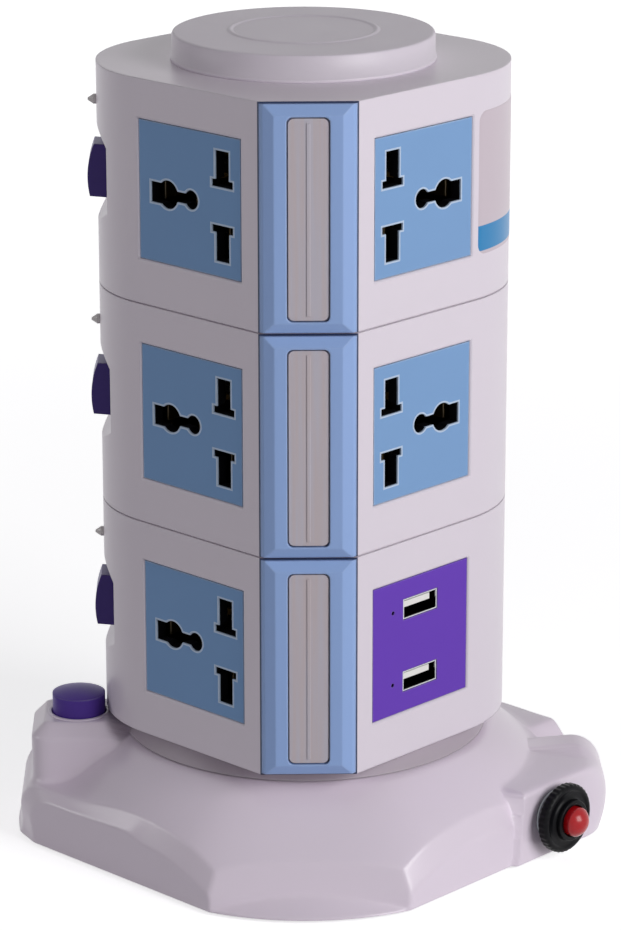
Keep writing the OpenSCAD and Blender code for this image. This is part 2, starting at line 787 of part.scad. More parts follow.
// Half section of the cap
module cap_section() {
    edge = cap_side_r - cap_round;
    top = cap_side_h + cap_round;
    steps = 8;
    square([cap_side_r, cap_side_h]);
    square([edge, top]);
    intersection() {
        translate([edge, cap_side_h]) circle(cap_round);
        square([cap_side_r, top]);
    }
    polygon(concat([[edge, cap_side_h], [0, cap_side_h]],
        [for (k = [0 : steps]) [edge * k / steps, top + cap_crown * (1 - pow(k / steps, 2))]]));
}

module top_cap() {
    color(white) translate([0, 0, tower_z + 3 * layer_h]) {
        difference() {
            rotate_extrude() {
                cap_section();
                square([cap_r, cap_foot]);
            }
            translate([0, 0, -over])
                cylinder(h = cap_side_h + cap_round - cap_wall + over, r = cap_side_r - cap_wall);
        }
        cap_pegs(cap_peg_r, -wall, cap_side_h + wall + cap_round / 2);
    }
}

// Outline of the base's lower body, drawn in by an inset
module base_plan(inset) {
    intersection() {
        square(base_w - 2 * inset, center = true);
        rotate(-45) square([2 * (facet_d - inset), 2 * base_w], center = true);
        rotate(45) translate([inset - left_d, -base_w]) square([left_d + right_d - 2 * inset, 2 * base_w]);
    }
}

// Lowest height of the base's outer form or of its hollow
function form_z(inset) = inset > 0 ? rim_z - over : rim_z;

// Bevelled strip of the lower body between two walls that face each other
module slab_strip(a, d0, d1, inset) {
    b = slab_bevel - inset * (2 - sqrt(2));
    z = slab_h - inset;
    rotate(a) mid_prism(3 * base_w) polygon([
        [inset - d0, form_z(inset)], [inset - d0, z - b], [inset - d0 + b, z],
        [d1 - inset - b, z], [d1 - inset, z - b], [d1 - inset, form_z(inset)]
    ]);
}

// Half section of the dome: a round flank from the deck's edge down to the walls
module dome_section(inset) {
    foot = [base_w / 2, dome_edge];
    top = [collar_r, deck_z];
    mid = (foot + top) / 2;
    chord = norm(foot - top);
    side = [foot[1] - top[1], top[0] - foot[0]] / chord;
    middle = mid + side * sqrt(dome_r * dome_r - chord * chord / 4);
    translate([0, form_z(inset)]) square([middle[0], deck_z - inset - form_z(inset)]);
    intersection() {
        translate(middle) circle(dome_r - inset, $fn = 2 * $fn);
        translate([0, form_z(inset)]) square([base_w, deck_z - inset - form_z(inset)]);
    }
    translate([0, form_z(inset)]) square([collar_r - inset / 2, deck_z - inset - form_z(inset)]);
}

// Block with round upright corners and a round top edge
module soft_block(w, top, r, inset) {
    a = w - 2 * inset;
    z = top - inset;
    q = r - inset;
    intersection() {
        translate([0, 0, form_z(inset)]) linear_extrude(z - form_z(inset)) round_rect(a, a, q);
        mid_prism(2 * w) translate([0, z / 2]) round_rect(a, z, q);
        rotate(90) mid_prism(2 * w) translate([0, z / 2]) round_rect(a, z, q);
    }
}

// Raised corner that holds the breaker
module breaker_pod(inset) {
    a = pod_in + inset;
    b = pod_w - inset;
    c = (right_d - inset) * sqrt(2) - b;
    z = pod_z - inset;
    s = pod_slant - inset * (2 - sqrt(2));
    e = block_round - inset * (2 - sqrt(2));
    d = right_d - inset;
    intersection() {
        translate([0, 0, form_z(inset)]) linear_extrude(z - form_z(inset))
            polygon([[a, a], [b, a], [b, c], [c, b], [a, b]]);
        pod_edge(b, z, s, inset);
        rotate(90) pod_edge(b, z, s, inset);
        rotate(45) pod_edge(d, z, e, inset);
        rotate(135) mid_prism(2 * reach) polygon([
            [-reach, form_z(inset)], [reach, form_z(inset)], [reach, z - pod_fall],
            [pod_fall_w, z - pod_fall], [0, z], [-reach, z]
        ]);
    }
}

// Wall profile with a slanted upper edge
module pod_edge(d, z, s, inset) {
    mid_prism(2 * base_w) polygon([[-d, form_z(inset)], [d, form_z(inset)], [d, z - s], [d - s, z], [-d, z]]);
}

// The base's whole outer form, or its hollow when drawn in by the shell's thickness
module base_form(inset) {
    intersection() {
        rotate_extrude($fn = 2 * $fn) dome_section(inset);
        translate([0, 0, form_z(inset)]) linear_extrude(deck_z) base_plan(inset);
    }
    intersection() {
        slab_strip(0, base_w / 2, base_w / 2, inset);
        slab_strip(90, base_w / 2, base_w / 2, inset);
        slab_strip(-45, facet_d, facet_d, inset);
        slab_strip(45, left_d, lobe_l - left_d, inset);
    }
    intersection() {
        for (s = [0, 1]) on_chamfer(s) translate([skirt_c, 0, form_z(inset)]) {
            cylinder(h = rim_z - form_z(inset), r = skirt_r - inset);
            translate([0, 0, rim_z - form_z(inset)])
                cylinder(h = skirt_h - inset / 2, r1 = skirt_r - inset, r2 = facet_d - skirt_c - inset);
        }
        translate([0, 0, form_z(inset)]) linear_extrude(deck_z)
            square(base_w - 2 * inset, center = true);
    }
    rotate(45) translate([button_x, button_y, 0]) soft_block(block_w, block_z, block_round, inset);
    breaker_pod(inset);
}

// Places of the floor screws
module screw_places() {
    for (a = [0 : 90 : 270]) rotate(a) translate([screw_d, 0, 0]) children();
}

module base_shell() {
    color(white) difference() {
        union() {
            difference() {
                base_form(0);
                base_form(shell_t);
            }
            intersection() {
                screw_places() translate([0, 0, floor_top]) cylinder(h = deck_z - floor_top, r = boss_r);
                base_form(shell_t / 2);
            }
        }
        screw_places() translate([0, 0, floor_top - over])
            cylinder(h = screw_l + over, r = screw_r + bearing_fit);
        rod_places() translate([0, 0, ceiling - over]) cylinder(h = shell_t + 2 * over, r = rod_r + fit);
        cylinder(h = deck_z + over, r = spindle_r + fit);
        rotate(45) translate([button_x, button_y, block_z - shell_t - over])
            cylinder(h = shell_t + 2 * over, r = button_r + run);
        translate([pod_w - shell_t - over, breaker_y, breaker_z]) rotate([0, 90, 0])
            cylinder(h = shell_t + 2 * over, r = neck_r + fit);
        on_cord_wall() translate([0, 0, -over]) cylinder(h = shell_t + 2 * over, r = cord_r + bush_t + fit);
    }
}

module foot_places() {
    children();
    for (a = [45 : 90 : 315]) rotate(a) translate([foot_d, 0, 0]) children();
}

module base_floor() {
    color(white) {
        difference() {
            translate([0, 0, floor_z]) linear_extrude(floor_t) base_plan(shell_t + floor_gap);
            screw_places() {
                translate([0, 0, floor_z - over]) cylinder(h = floor_t + 2 * over, r = screw_r + fit);
                translate([0, 0, floor_z - over]) cylinder(h = head_t + over, r = head_r + fit);
            }
            foot_places() translate([0, 0, floor_z - over])
                cylinder(h = floor_t + over - fit, r = stud_r + fit);
            brake_pin_place() translate([0, 0, floor_z - over])
                cylinder(h = floor_t + 2 * over, r = brake_pin_r);
        }
        rotate(45) translate([button_x, button_y, floor_z + floor_t / 2])
            cylinder(h = floor_t / 2 + coil_r, r = coil_r - coil_t - fit);
    }
}

module rubber_feet() {
    color([0.15, 0.15, 0.16]) foot_places() {
        cylinder(h = floor_z, r = foot_r);
        cylinder(h = floor_z + floor_t - 2 * fit, r = stud_r);
    }
}

module base_screws() {
    color(steel) screw_places() {
        translate([0, 0, floor_z]) cylinder(h = head_t, r = head_r);
        translate([0, 0, floor_z]) cylinder(h = floor_t + screw_l - over, r = screw_r);
    }
}

// Ring that carries the tower on the base's deck
module tower_collar() {
    color(white) translate([0, 0, deck_z]) difference() {
        cylinder(h = collar_h, r1 = collar_r, r2 = collar_top_r, $fn = 2 * $fn);
        translate([0, 0, -over]) cylinder(h = collar_h - wall + over, r = collar_top_r - wall);
        rod_places() translate([0, 0, -over]) cylinder(h = collar_h + 2 * over, r = rod_r + fit);
        translate([0, 0, -over]) cylinder(h = collar_h + 2 * over, r = hub_r / 2);
    }
}

// Turns children so that their Z runs out through the wall behind the breaker's
module on_cord_wall() {
    translate([cord_u, pod_w - shell_t, cord_z]) rotate([-90, 0, 0]) children();
}

// Bush that guides the cord out of the base
module cord_bush() {
    r = cord_r + bush_t;
    color([0.2, 0.2, 0.22]) on_cord_wall() difference() {
        union() {
            translate([0, 0, -bush_flange]) cylinder(h = shell_t + 2 * bush_flange, r = r);
            translate([0, 0, -bush_flange]) cylinder(h = bush_flange, r = r + bush_lip);
            translate([0, 0, shell_t]) cylinder(h = bush_flange, r = r + bush_lip);
        }
        translate([0, 0, -bush_flange - over]) cylinder(h = shell_t + 2 * bush_flange + 2 * over, r = cord_r);
    }
}

module reel_spindle() {
    color(steel) {
        translate([0, 0, floor_top]) cylinder(h = spindle_foot, r = spindle_foot_r);
        translate([0, 0, floor_top]) cylinder(h = deck_z - floor_top, r = spindle_r);
    }
}

module reel_drum() {
    bore = spindle_r + bearing_fit;
    color([0.35, 0.36, 0.40]) difference() {
        rotate_extrude($fn = 2 * $fn) polygon([
            [bore, drum_top - web_t], [hub_r - hub_t, drum_top - web_t], [hub_r - hub_t, drum_z],
            [drum_r, drum_z], [drum_r, drum_z + brake_rim_h], [drum_r - hub_t, drum_z + brake_rim_h],
            [drum_r - hub_t, drum_z + flange_t], [hub_r, drum_z + flange_t], [hub_r, drum_top - flange_t],
            [drum_r, drum_top - flange_t], [drum_r, drum_top], [bore, drum_top]
        ]);
        for (a = [0 : 60 : 300]) rotate(a)
            translate([(drum_r + slip_edge) / 2, 0, drum_top - flange_t - over])
                cylinder(h = flange_t + 2 * over, r = drum_hole_share * (drum_r - slip_edge));
    }
}

// Spiral strip wound round the spindle
module power_spring() {
    turns = 5;
    steps = 24 * turns;
    r0 = spindle_r;
    r1 = hub_r - hub_t - 2 * spring_t;
    function spiral(k, off) = (r0 + off + (r1 - r0) * k / steps)
        * [cos(360 * turns * k / steps), sin(360 * turns * k / steps)];
    color(steel) translate([0, 0, drum_z + run]) linear_extrude(spring_h) polygon(concat(
        [for (k = [0 : steps]) spiral(k, 0)],
        [for (k = [steps : -1 : 0]) spiral(k, spring_t)]
    ));
}

module slip_rings() {
    color(brass) for (k = [0 : 2]) translate([0, 0, drum_top]) linear_extrude(slip_t) difference() {
        circle(slip_r + k * slip_step + slip_w / 2);
        circle(slip_r + k * slip_step - slip_w / 2);
    }
}

module brush_holder() {
    color(nylon) translate([slip_r - slip_w, -holder_w / 2, ceiling - holder_h])
        cube([2 * slip_step + 2 * slip_w, holder_w, holder_h]);
}

module carbon_brushes() {
    z = drum_top + slip_t + run;
    color(black) for (k = [0 : 2]) translate([slip_r + k * slip_step - brush_w / 2, -brush_w, z])
        cube([brush_w, 2 * brush_w, ceiling - holder_h - z]);
}

// Turns children to the rewind button's direction, with the radius along X
module on_button_ray(a) {
    rotate(button_a + a) children();
}

module brake_pin_place() {
    on_button_ray(-lever_angle) translate([lever_pivot, 0, 0]) children();
}

module brake_lever() {
    color([0.8, 0.8, 0.82]) translate([0, 0, lever_z]) linear_extrude(lever_t) difference() {
        union() {
            intersection() {
                difference() {
                    circle(lever_r + lever_w, $fn = 2 * $fn);
                    circle(lever_r, $fn = 2 * $fn);
                }
                on_button_ray(0) polygon([[0, 0], [reach, 0],
                    [reach * cos(lever_angle), -reach * sin(lever_angle)],
                    reach * [cos(2 * lever_angle), -sin(2 * lever_angle)]]);
            }
            on_button_ray(0) translate([lever_r, -tail_w / 2]) square([tail_d - lever_r, tail_w]);
            on_button_ray(-2 * lever_angle) translate([drum_r - over, -tail_w / 2])
                square([lever_gap + lever_w + over, tail_w]);
            brake_pin_place() circle(2 * brake_pin_r);
        }
        brake_pin_place() circle(brake_pin_r + bearing_fit);
        circle(drum_r + run, $fn = 2 * $fn);
    }
}

module brake_pin() {
    color(steel) brake_pin_place() {
        translate([0, 0, floor_z]) cylinder(h = lever_z + lever_t + head_t - floor_z, r = brake_pin_r);
        translate([0, 0, floor_top]) cylinder(h = lever_z - run - floor_top, r = 2 * brake_pin_r);
    }
}

// Rewind button with its flange, stem and the wedge that swings the brake lever
module rewind_button() {
    top = block_z + button_rise;
    under = block_z - shell_t - run;
    stem_z = floor_top + button_travel + coil_r + coil_t + run;
    wedge_z = lever_z + lever_t;
    slope = shoe_move / button_travel;
    low = floor_top + button_travel + run;
    crown_r = (button_r * button_r + button_crown * button_crown) / (2 * button_crown);
    color(purple) {
        rotate(45) translate([button_x, button_y, 0]) {
            intersection() {
                translate([0, 0, under - button_flange])
                    cylinder(h = top - under + button_flange, r = button_r);
                translate([0, 0, top - crown_r]) sphere(crown_r, $fn = 4 * $fn);
            }
            translate([0, 0, under - button_flange]) cylinder(h = button_flange, r = button_r + button_lip);
            translate([0, 0, stem_z]) cylinder(h = under - stem_z, r = stem_r);
        }
        on_button_ray(0) mid_prism(tail_w) polygon([
            [tail_d + run + (wedge_z - low) * slope, low],
            [tail_d + run - (stem_z - wedge_z) * slope, stem_z],
            [tail_d + run - (stem_z - wedge_z) * slope, stem_z + stem_r],
            [button_d, stem_z + stem_r], [button_d, stem_z],
            [button_d - coil_r - coil_t - run, stem_z],
            [button_d - coil_r - coil_t - 2 * run - stem_r / 2, low]
        ]);
    }
}

module rewind_spring() {
    stem_z = floor_top + button_travel + coil_r + coil_t + run;
    color(steel) rotate(45) translate([button_x, button_y, floor_top]) difference() {
        cylinder(h = stem_z - floor_top, r = coil_r);
        translate([0, 0, -over]) cylinder(h = stem_z - floor_top + 2 * over, r = coil_r - coil_t);
    }
}

// Turns children so that their Z runs out along the breaker's axis from the pod's inner wall
module on_breaker() {
    translate([pod_w - shell_t, breaker_y, breaker_z]) rotate([0, 90, 0]) children();
}

module breaker_body() {
    color(black) on_breaker() difference() {
        translate([-breaker_w / 2, -breaker_w / 2, -breaker_l]) cube([breaker_w, breaker_w, breaker_l]);
        translate([0, 0, -breaker_l + shell_t]) cylinder(h = breaker_l, r = neck_r - over);
    }
}

module breaker_neck() {
    color(steel) on_breaker() difference() {
        cylinder(h = shell_t + ring_off + ring_t - ring_web - run, r = neck_r);
        translate([0, 0, -over]) cylinder(h = shell_t + ring_off + ring_t + over, r = reset_r + run);
    }
}

module breaker_ring() {
    color(black) on_breaker() translate([0, 0, shell_t + ring_off]) difference() {
        union() {
            cylinder(h = ring_t / 2, r = ring_r);
            translate([0, 0, ring_t / 2]) cylinder(h = ring_t / 2, r1 = ring_r, r2 = ring_r - ring_t / 2);
            cylinder(h = ring_t + ring_hub_rise, r = reset_r + ring_hub_t);
        }
        translate([0, 0, -over]) cylinder(h = ring_t - ring_web + over, r = neck_r + bearing_fit);
        translate([0, 0, -over]) cylinder(h = ring_t + ring_hub_rise + 2 * over, r = reset_r + run);
    }
}

module reset_button() {
    top = shell_t + ring_off + ring_t + reset_rise;
    color([0.72, 0.06, 0.12]) on_breaker() {
        intersection() {
            translate([0, 0, -3 * reset_travel]) cylinder(h = top + 3 * reset_travel, r = reset_r);
            translate([0, 0, top - reset_r - reset_r / 8]) union() {
                sphere(reset_r + reset_r / 8);
                translate([0, 0, -reach]) cylinder(h = reach, r = reset_r + reset_r / 8);
            }
        }
        translate([0, 0, -run - plate_flange]) cylinder(h = plate_flange, r = (reset_r + neck_r) / 2);
    }
}

// Plan of one busbar ring with its contact leaves
module busbar_plan(leaves, faces) {
    difference() {
        square(2 * (bar_d + bar_t), center = true);
        square(2 * bar_d, center = true);
    }
    for (f = faces) on_face(f) for (u = leaves) translate([plate_u + u, -leaf_d])
        square([bar_t, leaf_d - bar_d]);
}

// Three rings at one height in each layer, joined by a riser on one face
module busbars(z, leaves, f) {
    for (i = [1 : 3]) at_layer(i) translate([0, 0, plate_z + z - bar_h / 2]) linear_extrude(bar_h) {
        busbar_plan(leaves, socket_faces(i));
        on_face(f) translate([riser_u - riser_w / 2, -riser_d - bar_t])
            square([riser_w, riser_d + bar_t - bar_d]);
    }
    on_face(f) translate([riser_u - riser_w / 2, -riser_d - bar_t, tower_z + plate_z + z - bar_h / 2])
        cube([riser_w, bar_t, 2 * layer_h + bar_h]);
}

slot_leaves = [slot_u - slot_w / 2 - bar_t, slot_u + slot_w / 2];
earth_leaves = [
    earth_u - earth_gap - earth_slot_l - bar_t,
    earth_u - earth_r - bar_t,
    earth_u + earth_r
];

module live_busbars() {
    color(brass) busbars(slot_z, slot_leaves, 3);
}

module neutral_busbars() {
    color(brass) busbars(-slot_z, slot_leaves, 2);
}

module earth_busbars() {
    color(brass) busbars(0, earth_leaves, 0);
}

// Square tubes with shelves that carry the busbar rings
module contact_carriers() {
    out = bar_d - fit;
    color(nylon) for (i = [1 : 3]) at_layer(i) difference() {
        union() {
            translate([0, 0, layer_floor(i)]) linear_extrude(layer_h - wall - layer_floor(i))
                square(2 * out, center = true);
            for (z = [-slot_z, 0, slot_z]) translate([0, 0, plate_z + z - bar_h / 2 - shelf_t])
                linear_extrude(shelf_t) intersection() {
                    square(2 * (out + shelf_w), center = true);
                    rotate(45) square(2 * (out * sqrt(2) + carrier_t / 2), center = true);
                }
        }
        linear_extrude(layer_h) square(2 * (out - carrier_t), center = true);
    }
}

// Rods that clamp the layers to the base
module tie_rods() {
    z = ceiling - nut_h - rod_end;
    color(steel) rod_places() translate([0, 0, z])
        cylinder(h = tower_z + 3 * layer_h - wall - rod_end - z, r = rod_r);
}

module tie_nuts() {
    color(steel) rod_places() translate([0, 0, ceiling - nut_h]) difference() {
        cylinder(h = nut_h, r = 2 * rod_r, $fn = 6);
        translate([0, 0, -over]) cylinder(h = nut_h + 2 * over, r = rod_r + bearing_fit);
    }
}

base_shell();
base_floor();
rubber_feet();
base_screws();
tower_collar();
cord_bush();
reel_spindle();
reel_drum();
power_spring();
slip_rings();
brush_holder();
carbon_brushes();
brake_lever();
brake_pin();
rewind_button();
rewind_spring();
breaker_body();
breaker_neck();
breaker_ring();
reset_button();
tower_floor();
layer_casing(1);  // layer_casing_1
layer_casing(2);  // layer_casing_2
layer_casing(3);  // layer_casing_3
top_cap();
corner_frames(1);  // corner_frames_1
corner_frames(2);  // corner_frames_2
corner_frames(3);  // corner_frames_3
corner_inserts(1);  // corner_inserts_1
corner_inserts(2);  // corner_inserts_2
corner_inserts(3);  // corner_inserts_3
rocker_switch(1);  // rocker_switch_1
rocker_switch(2);  // rocker_switch_2
rocker_switch(3);  // rocker_switch_3
rocker_housing(1);  // rocker_housing_1
rocker_housing(2);  // rocker_housing_2
rocker_housing(3);  // rocker_housing_3
indicator_lenses();
socket_plate(0, 1);  // socket_front_1
socket_plate(0, 2);  // socket_front_2
socket_plate(0, 3);  // socket_front_3
socket_plate(1, 2);  // socket_right_2
socket_plate(1, 3);  // socket_right_3
socket_plate(2, 1);  // socket_back_1
socket_plate(2, 2);  // socket_back_2
socket_plate(2, 3);  // socket_back_3
socket_plate(3, 1);  // socket_left_1
socket_plate(3, 2);  // socket_left_2
socket_plate(3, 3);  // socket_left_3
usb_plate();
usb_shells();
usb_tongues();
usb_board();
live_busbars();
neutral_busbars();
earth_busbars();
contact_carriers();
tie_rods();
tie_nuts();
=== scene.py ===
"""Tower power strip: the dressed model, built piece by piece round its solid parts."""
import math

import bmesh
import bpy
import numpy as np
from mathutils import Matrix, Vector


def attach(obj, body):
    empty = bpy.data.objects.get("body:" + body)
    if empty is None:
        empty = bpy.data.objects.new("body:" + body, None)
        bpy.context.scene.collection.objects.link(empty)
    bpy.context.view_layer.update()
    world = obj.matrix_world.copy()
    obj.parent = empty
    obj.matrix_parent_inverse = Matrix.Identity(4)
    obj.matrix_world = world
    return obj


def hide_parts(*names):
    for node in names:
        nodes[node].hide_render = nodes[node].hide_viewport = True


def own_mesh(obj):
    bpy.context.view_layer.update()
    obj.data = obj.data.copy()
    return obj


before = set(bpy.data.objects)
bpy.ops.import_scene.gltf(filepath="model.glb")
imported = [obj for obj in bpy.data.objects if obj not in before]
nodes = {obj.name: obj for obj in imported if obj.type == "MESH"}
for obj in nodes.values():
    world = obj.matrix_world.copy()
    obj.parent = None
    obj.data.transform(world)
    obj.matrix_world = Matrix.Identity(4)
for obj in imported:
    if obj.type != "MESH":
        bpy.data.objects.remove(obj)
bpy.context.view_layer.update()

# Studio: the camera stands at the photograph's place, a little above the tower's middle, and looks at the
# front corner. A large soft lamp stands low on the right, and the pale room gives the rest of the light.
camera_place = Vector((0.729762, -0.759173, 0.435512))
camera_right = Vector((0.722325, 0.691553, -0.000830))
camera_up = Vector((-0.204561, 0.214810, 0.954993))
camera_turn = Matrix((camera_right, camera_up, camera_right.cross(camera_up))).transposed()
camera = bpy.data.objects.new("view_camera", bpy.data.cameras.new("view_camera"))
camera.data.sensor_width = 36
camera.data.lens = 147.9
camera.data.clip_end = 50
camera.matrix_world = Matrix.LocRotScale(camera_place, camera_turn, None)
bpy.context.scene.collection.objects.link(camera)
bpy.context.scene.camera = camera
bpy.context.scene.view_settings.view_transform = "Standard"


def soft_lamp(name, place, target, width, watts):
    """Square area lamp of that width at a place, turned to a target."""
    lamp = bpy.data.objects.new(name, bpy.data.lights.new(name, "AREA"))
    lamp.data.shape = "SQUARE"
    lamp.data.size = width
    lamp.data.energy = watts
    away = Vector(place) - Vector(target)
    lamp.matrix_world = Matrix.LocRotScale(Vector(place), away.to_track_quat("Z", "Y"), None)
    bpy.context.scene.collection.objects.link(lamp)


tower_middle = (0, 0, 0.12)
soft_lamp("key_lamp", (1.22, 0.06, 0.56), tower_middle, width=0.7, watts=11.4)
soft_lamp("fill_lamp", (-1.0, -1.05, 0.55), tower_middle, width=0.5, watts=3.2)


def node(tree, kind, links=(), operation=None, **values):
    """Adds a node, sets its inputs by name and links outputs of other nodes to its inputs."""
    made = tree.nodes.new(kind)
    if operation:
        made.operation = operation
    for name, value in values.items():
        made.inputs[name].default_value = value
    for source, target in links:
        tree.links.new(source, made.inputs[target])
    return made


def maths(tree, operation, first, second=0.0):
    """Output of a maths node on outputs or numbers."""
    made = node(tree, "ShaderNodeMath", operation=operation)
    for socket, given in zip(made.inputs, (first, second)):
        if isinstance(given, (int, float)):
            socket.default_value = given
        else:
            tree.links.new(given, socket)
    return made.outputs[0]


def span(tree, value, low, high, start=0.0, end=1.0):
    """Output that runs from start to end as a value runs from low to high."""
    made = node(tree, "ShaderNodeMapRange", [(value, "Value")])
    for name, number in (("From Min", low), ("From Max", high), ("To Min", start), ("To Max", end)):
        made.inputs[name].default_value = number
    return made.outputs["Result"]


def seen_rays(tree):
    """Value that is 1 on camera, mirror and glass rays, and 0 on the rays that light the object."""
    path = node(tree, "ShaderNodeLightPath").outputs
    straight = maths(tree, "MAXIMUM", path["Is Camera Ray"], path["Is Glossy Ray"])
    return maths(tree, "MAXIMUM", straight, path["Is Transmission Ray"])


room = bpy.data.worlds.new("pale_room")
room.use_nodes = True
tree = room.node_tree
tree.nodes.clear()
lit = node(tree, "ShaderNodeBackground", Color=(0.97, 0.94, 1.0, 1), Strength=0.145)
shown = node(tree, "ShaderNodeBackground", Color=(1, 1, 1, 1), Strength=1.0)
pick = node(tree, "ShaderNodeMixShader", [(seen_rays(tree), 0), (lit.outputs[0], 1), (shown.outputs[0], 2)])
node(tree, "ShaderNodeOutputWorld", [(pick.outputs[0], 0)])
bpy.context.scene.world = room

# Floor: a wide pale sheet under the tower. It shows white to the camera and in reflections, and still
# takes the tower's soft shadow, which is added over its own glow.
floor_half = 6.0
floor_mesh = bpy.data.meshes.new("studio_floor")
corners = np.array([[-1, -1, 0], [1, -1, 0], [1, 1, 0], [-1, 1, 0]]) * floor_half
floor_mesh.from_pydata(corners.tolist(), [], [[0, 1, 2, 3]])
floor = bpy.data.objects.new("studio_floor", floor_mesh)
bpy.context.scene.collection.objects.link(floor)


def object_place(tree):
    """Object coordinates of a material."""
    return node(tree, "ShaderNodeTexCoord").outputs["Object"]


floor_paint = bpy.data.materials.new("floor_paint")
floor_paint.use_nodes = True
tree = floor_paint.node_tree
tree.nodes.clear()
from_middle = node(tree, "ShaderNodeVectorMath", [(object_place(tree), 0)], operation="LENGTH")
own_glow = span(tree, from_middle.outputs["Value"], low=0.1, high=1.2, start=0.68, end=0.95)
own_glow.node.interpolation_type = "SMOOTHSTEP"
glow = node(tree, "ShaderNodeEmission", [(maths(tree, "MULTIPLY", own_glow, seen_rays(tree)), "Strength")])
matt = node(tree, "ShaderNodeBsdfDiffuse", Color=(0.80, 0.80, 0.81, 1))
both = node(tree, "ShaderNodeAddShader", [(matt.outputs[0], 0), (glow.outputs[0], 1)])
node(tree, "ShaderNodeOutputMaterial", [(both.outputs[0], 0)])
floor_mesh.materials.append(floor_paint)


# Rubber feet: five soft black feet pushed by their studs into the base's floor. Moulded rubber, matt, with a
# faint bloom and rubbed edges where they stand.
def paint(red, green, blue):
    """Linear colour of a display colour from 0 to 255."""
    c = np.array([red, green, blue]) / 255
    return (*np.where(c <= 0.04045, c / 12.92, ((c + 0.055) / 1.055) ** 2.4).tolist(), 1.0)


def mixed(tree, factor, first, second):
    """Output that blends two colours, given as outputs or as colours, by a factor."""
    made = tree.nodes.new("ShaderNodeMix")
    made.data_type = "RGBA"
    tree.links.new(factor, made.inputs["Factor"])
    for socket, given in ((made.inputs["A"], first), (made.inputs["B"], second)):
        if isinstance(given, tuple):
            socket.default_value = given
        else:
            tree.links.new(given, socket)
    return made.outputs["Result"]


def shared_surface():
    """Node group of every moulded or metal surface: mottling, smudges, fine skin and round edges painted
    paler, partly as rubbed wear and partly as a painted highlight.
    """
    group = bpy.data.node_groups.new("moulded_surface", "ShaderNodeTree")
    for name, kind, value in (
        ("Paint", "NodeSocketColor", (0.5, 0.5, 0.5, 1)),
        ("RubbedSheen", "NodeSocketColor", (0.7, 0.7, 0.7, 1)),
        ("Wear", "NodeSocketFloat", 0.3),
        ("Edge", "NodeSocketFloat", 0.0004),
        ("Mottle", "NodeSocketFloat", 0.04),
        ("Gloss", "NodeSocketFloat", 0.3),
        ("Smudge", "NodeSocketFloat", 0.08),
        ("Grain", "NodeSocketFloat", 900.0),
        ("Depth", "NodeSocketFloat", 0.00001),
    ):
        group.interface.new_socket(name=name, in_out="INPUT", socket_type=kind).default_value = value
    for name, kind in (
        ("Color", "NodeSocketColor"),
        ("Roughness", "NodeSocketFloat"),
        ("Normal", "NodeSocketVector"),
    ):
        group.interface.new_socket(name=name, in_out="OUTPUT", socket_type=kind)
    given = group.nodes.new("NodeGroupInput").outputs
    place = object_place(group)

    # Cloudy mottling of the paint
    cloud = node(group, "ShaderNodeTexNoise", [(place, "Vector")], Scale=28.0, Detail=4.0, Roughness=0.6)
    shade = maths(group, "SUBTRACT", cloud.outputs["Fac"], 0.5)
    shade = maths(group, "ADD", maths(group, "MULTIPLY", shade, given["Mottle"]), 1.0)
    tinted = node(group, "ShaderNodeVectorMath", [(given["Paint"], 0), (shade, "Scale")], operation="SCALE")

    # Rubbed edges and painted edge highlight: paler where the rounded normal leaves the flat one, broken up
    # by the film of smudges
    film = node(group, "ShaderNodeTexNoise", [(place, "Vector")], Scale=75.0, Detail=6.0, Roughness=0.65)
    rounded = node(group, "ShaderNodeBevel", [(given["Edge"], "Radius")])
    rounded.samples = 6
    flat = node(group, "ShaderNodeNewGeometry").outputs["Normal"]
    sides = [(rounded.outputs[0], 0), (flat, 1)]
    turn = node(group, "ShaderNodeVectorMath", sides, operation="DOT_PRODUCT").outputs["Value"]
    edge = span(group, turn, low=0.995, high=0.80)
    broken = span(group, film.outputs["Fac"], low=0.35, high=0.65, start=0.35)
    worn_sheen = maths(group, "MULTIPLY", maths(group, "MULTIPLY", edge, broken), given["Wear"])
    colour = mixed(group, worn_sheen, tinted.outputs[0], given["RubbedSheen"])

    # Smudged gloss, and the fine skin of the mould
    smudge = maths(group, "MULTIPLY", maths(group, "SUBTRACT", film.outputs["Fac"], 0.5), given["Smudge"])
    rough = maths(group, "ADD", smudge, given["Gloss"])
    skin = node(group, "ShaderNodeTexNoise", [(place, "Vector"), (given["Grain"], "Scale")], Detail=2.0)
    relief = [(skin.outputs["Fac"], "Height"), (given["Depth"], "Distance"), (rounded.outputs[0], "Normal")]
    peel = node(group, "ShaderNodeBump", relief)
    results = [(colour, "Color"), (rough, "Roughness"), (peel.outputs[0], "Normal")]
    node(group, "NodeGroupOutput", results)
    return group


moulded = shared_surface()


def finish(name, colour, gloss, rubbed_sheen=None, metal=0.0, coat=0.0, level=0.5, **feel):
    """Material of a moulded or metal piece: its colour, gloss, paler edge colour (rubbed wear and painted
    highlight) and feel of the surface.
    """
    made = bpy.data.materials.new(name)
    made.use_nodes = True
    tree = made.node_tree
    shader = tree.nodes["Principled BSDF"]
    surface = tree.nodes.new("ShaderNodeGroup")
    surface.node_tree = moulded
    surface.inputs["Paint"].default_value = colour
    surface.inputs["RubbedSheen"].default_value = rubbed_sheen or tuple(min(1.0, 0.55 * c + 0.45) for c in colour)
    surface.inputs["Gloss"].default_value = gloss
    for key, value in feel.items():
        surface.inputs[key].default_value = value
    for output, target in (("Color", "Base Color"), ("Roughness", "Roughness"), ("Normal", "Normal")):
        tree.links.new(surface.outputs[output], shader.inputs[target])
    shader.inputs["Metallic"].default_value = metal
    shader.inputs["Coat Weight"].default_value = coat
    shader.inputs["Coat Roughness"].default_value = 0.15
    shader.inputs["Specular IOR Level"].default_value = level
    return made


def dress(material, *names):
    """Gives solid parts their material."""
    for name in names:
        nodes[name].data.materials.clear()
        nodes[name].data.materials.append(material)


rubber = finish("rubber", paint(38, 38, 40), 0.75, Mottle=0.2, Depth=0.00002)
dress(rubber, "rubber_feet")

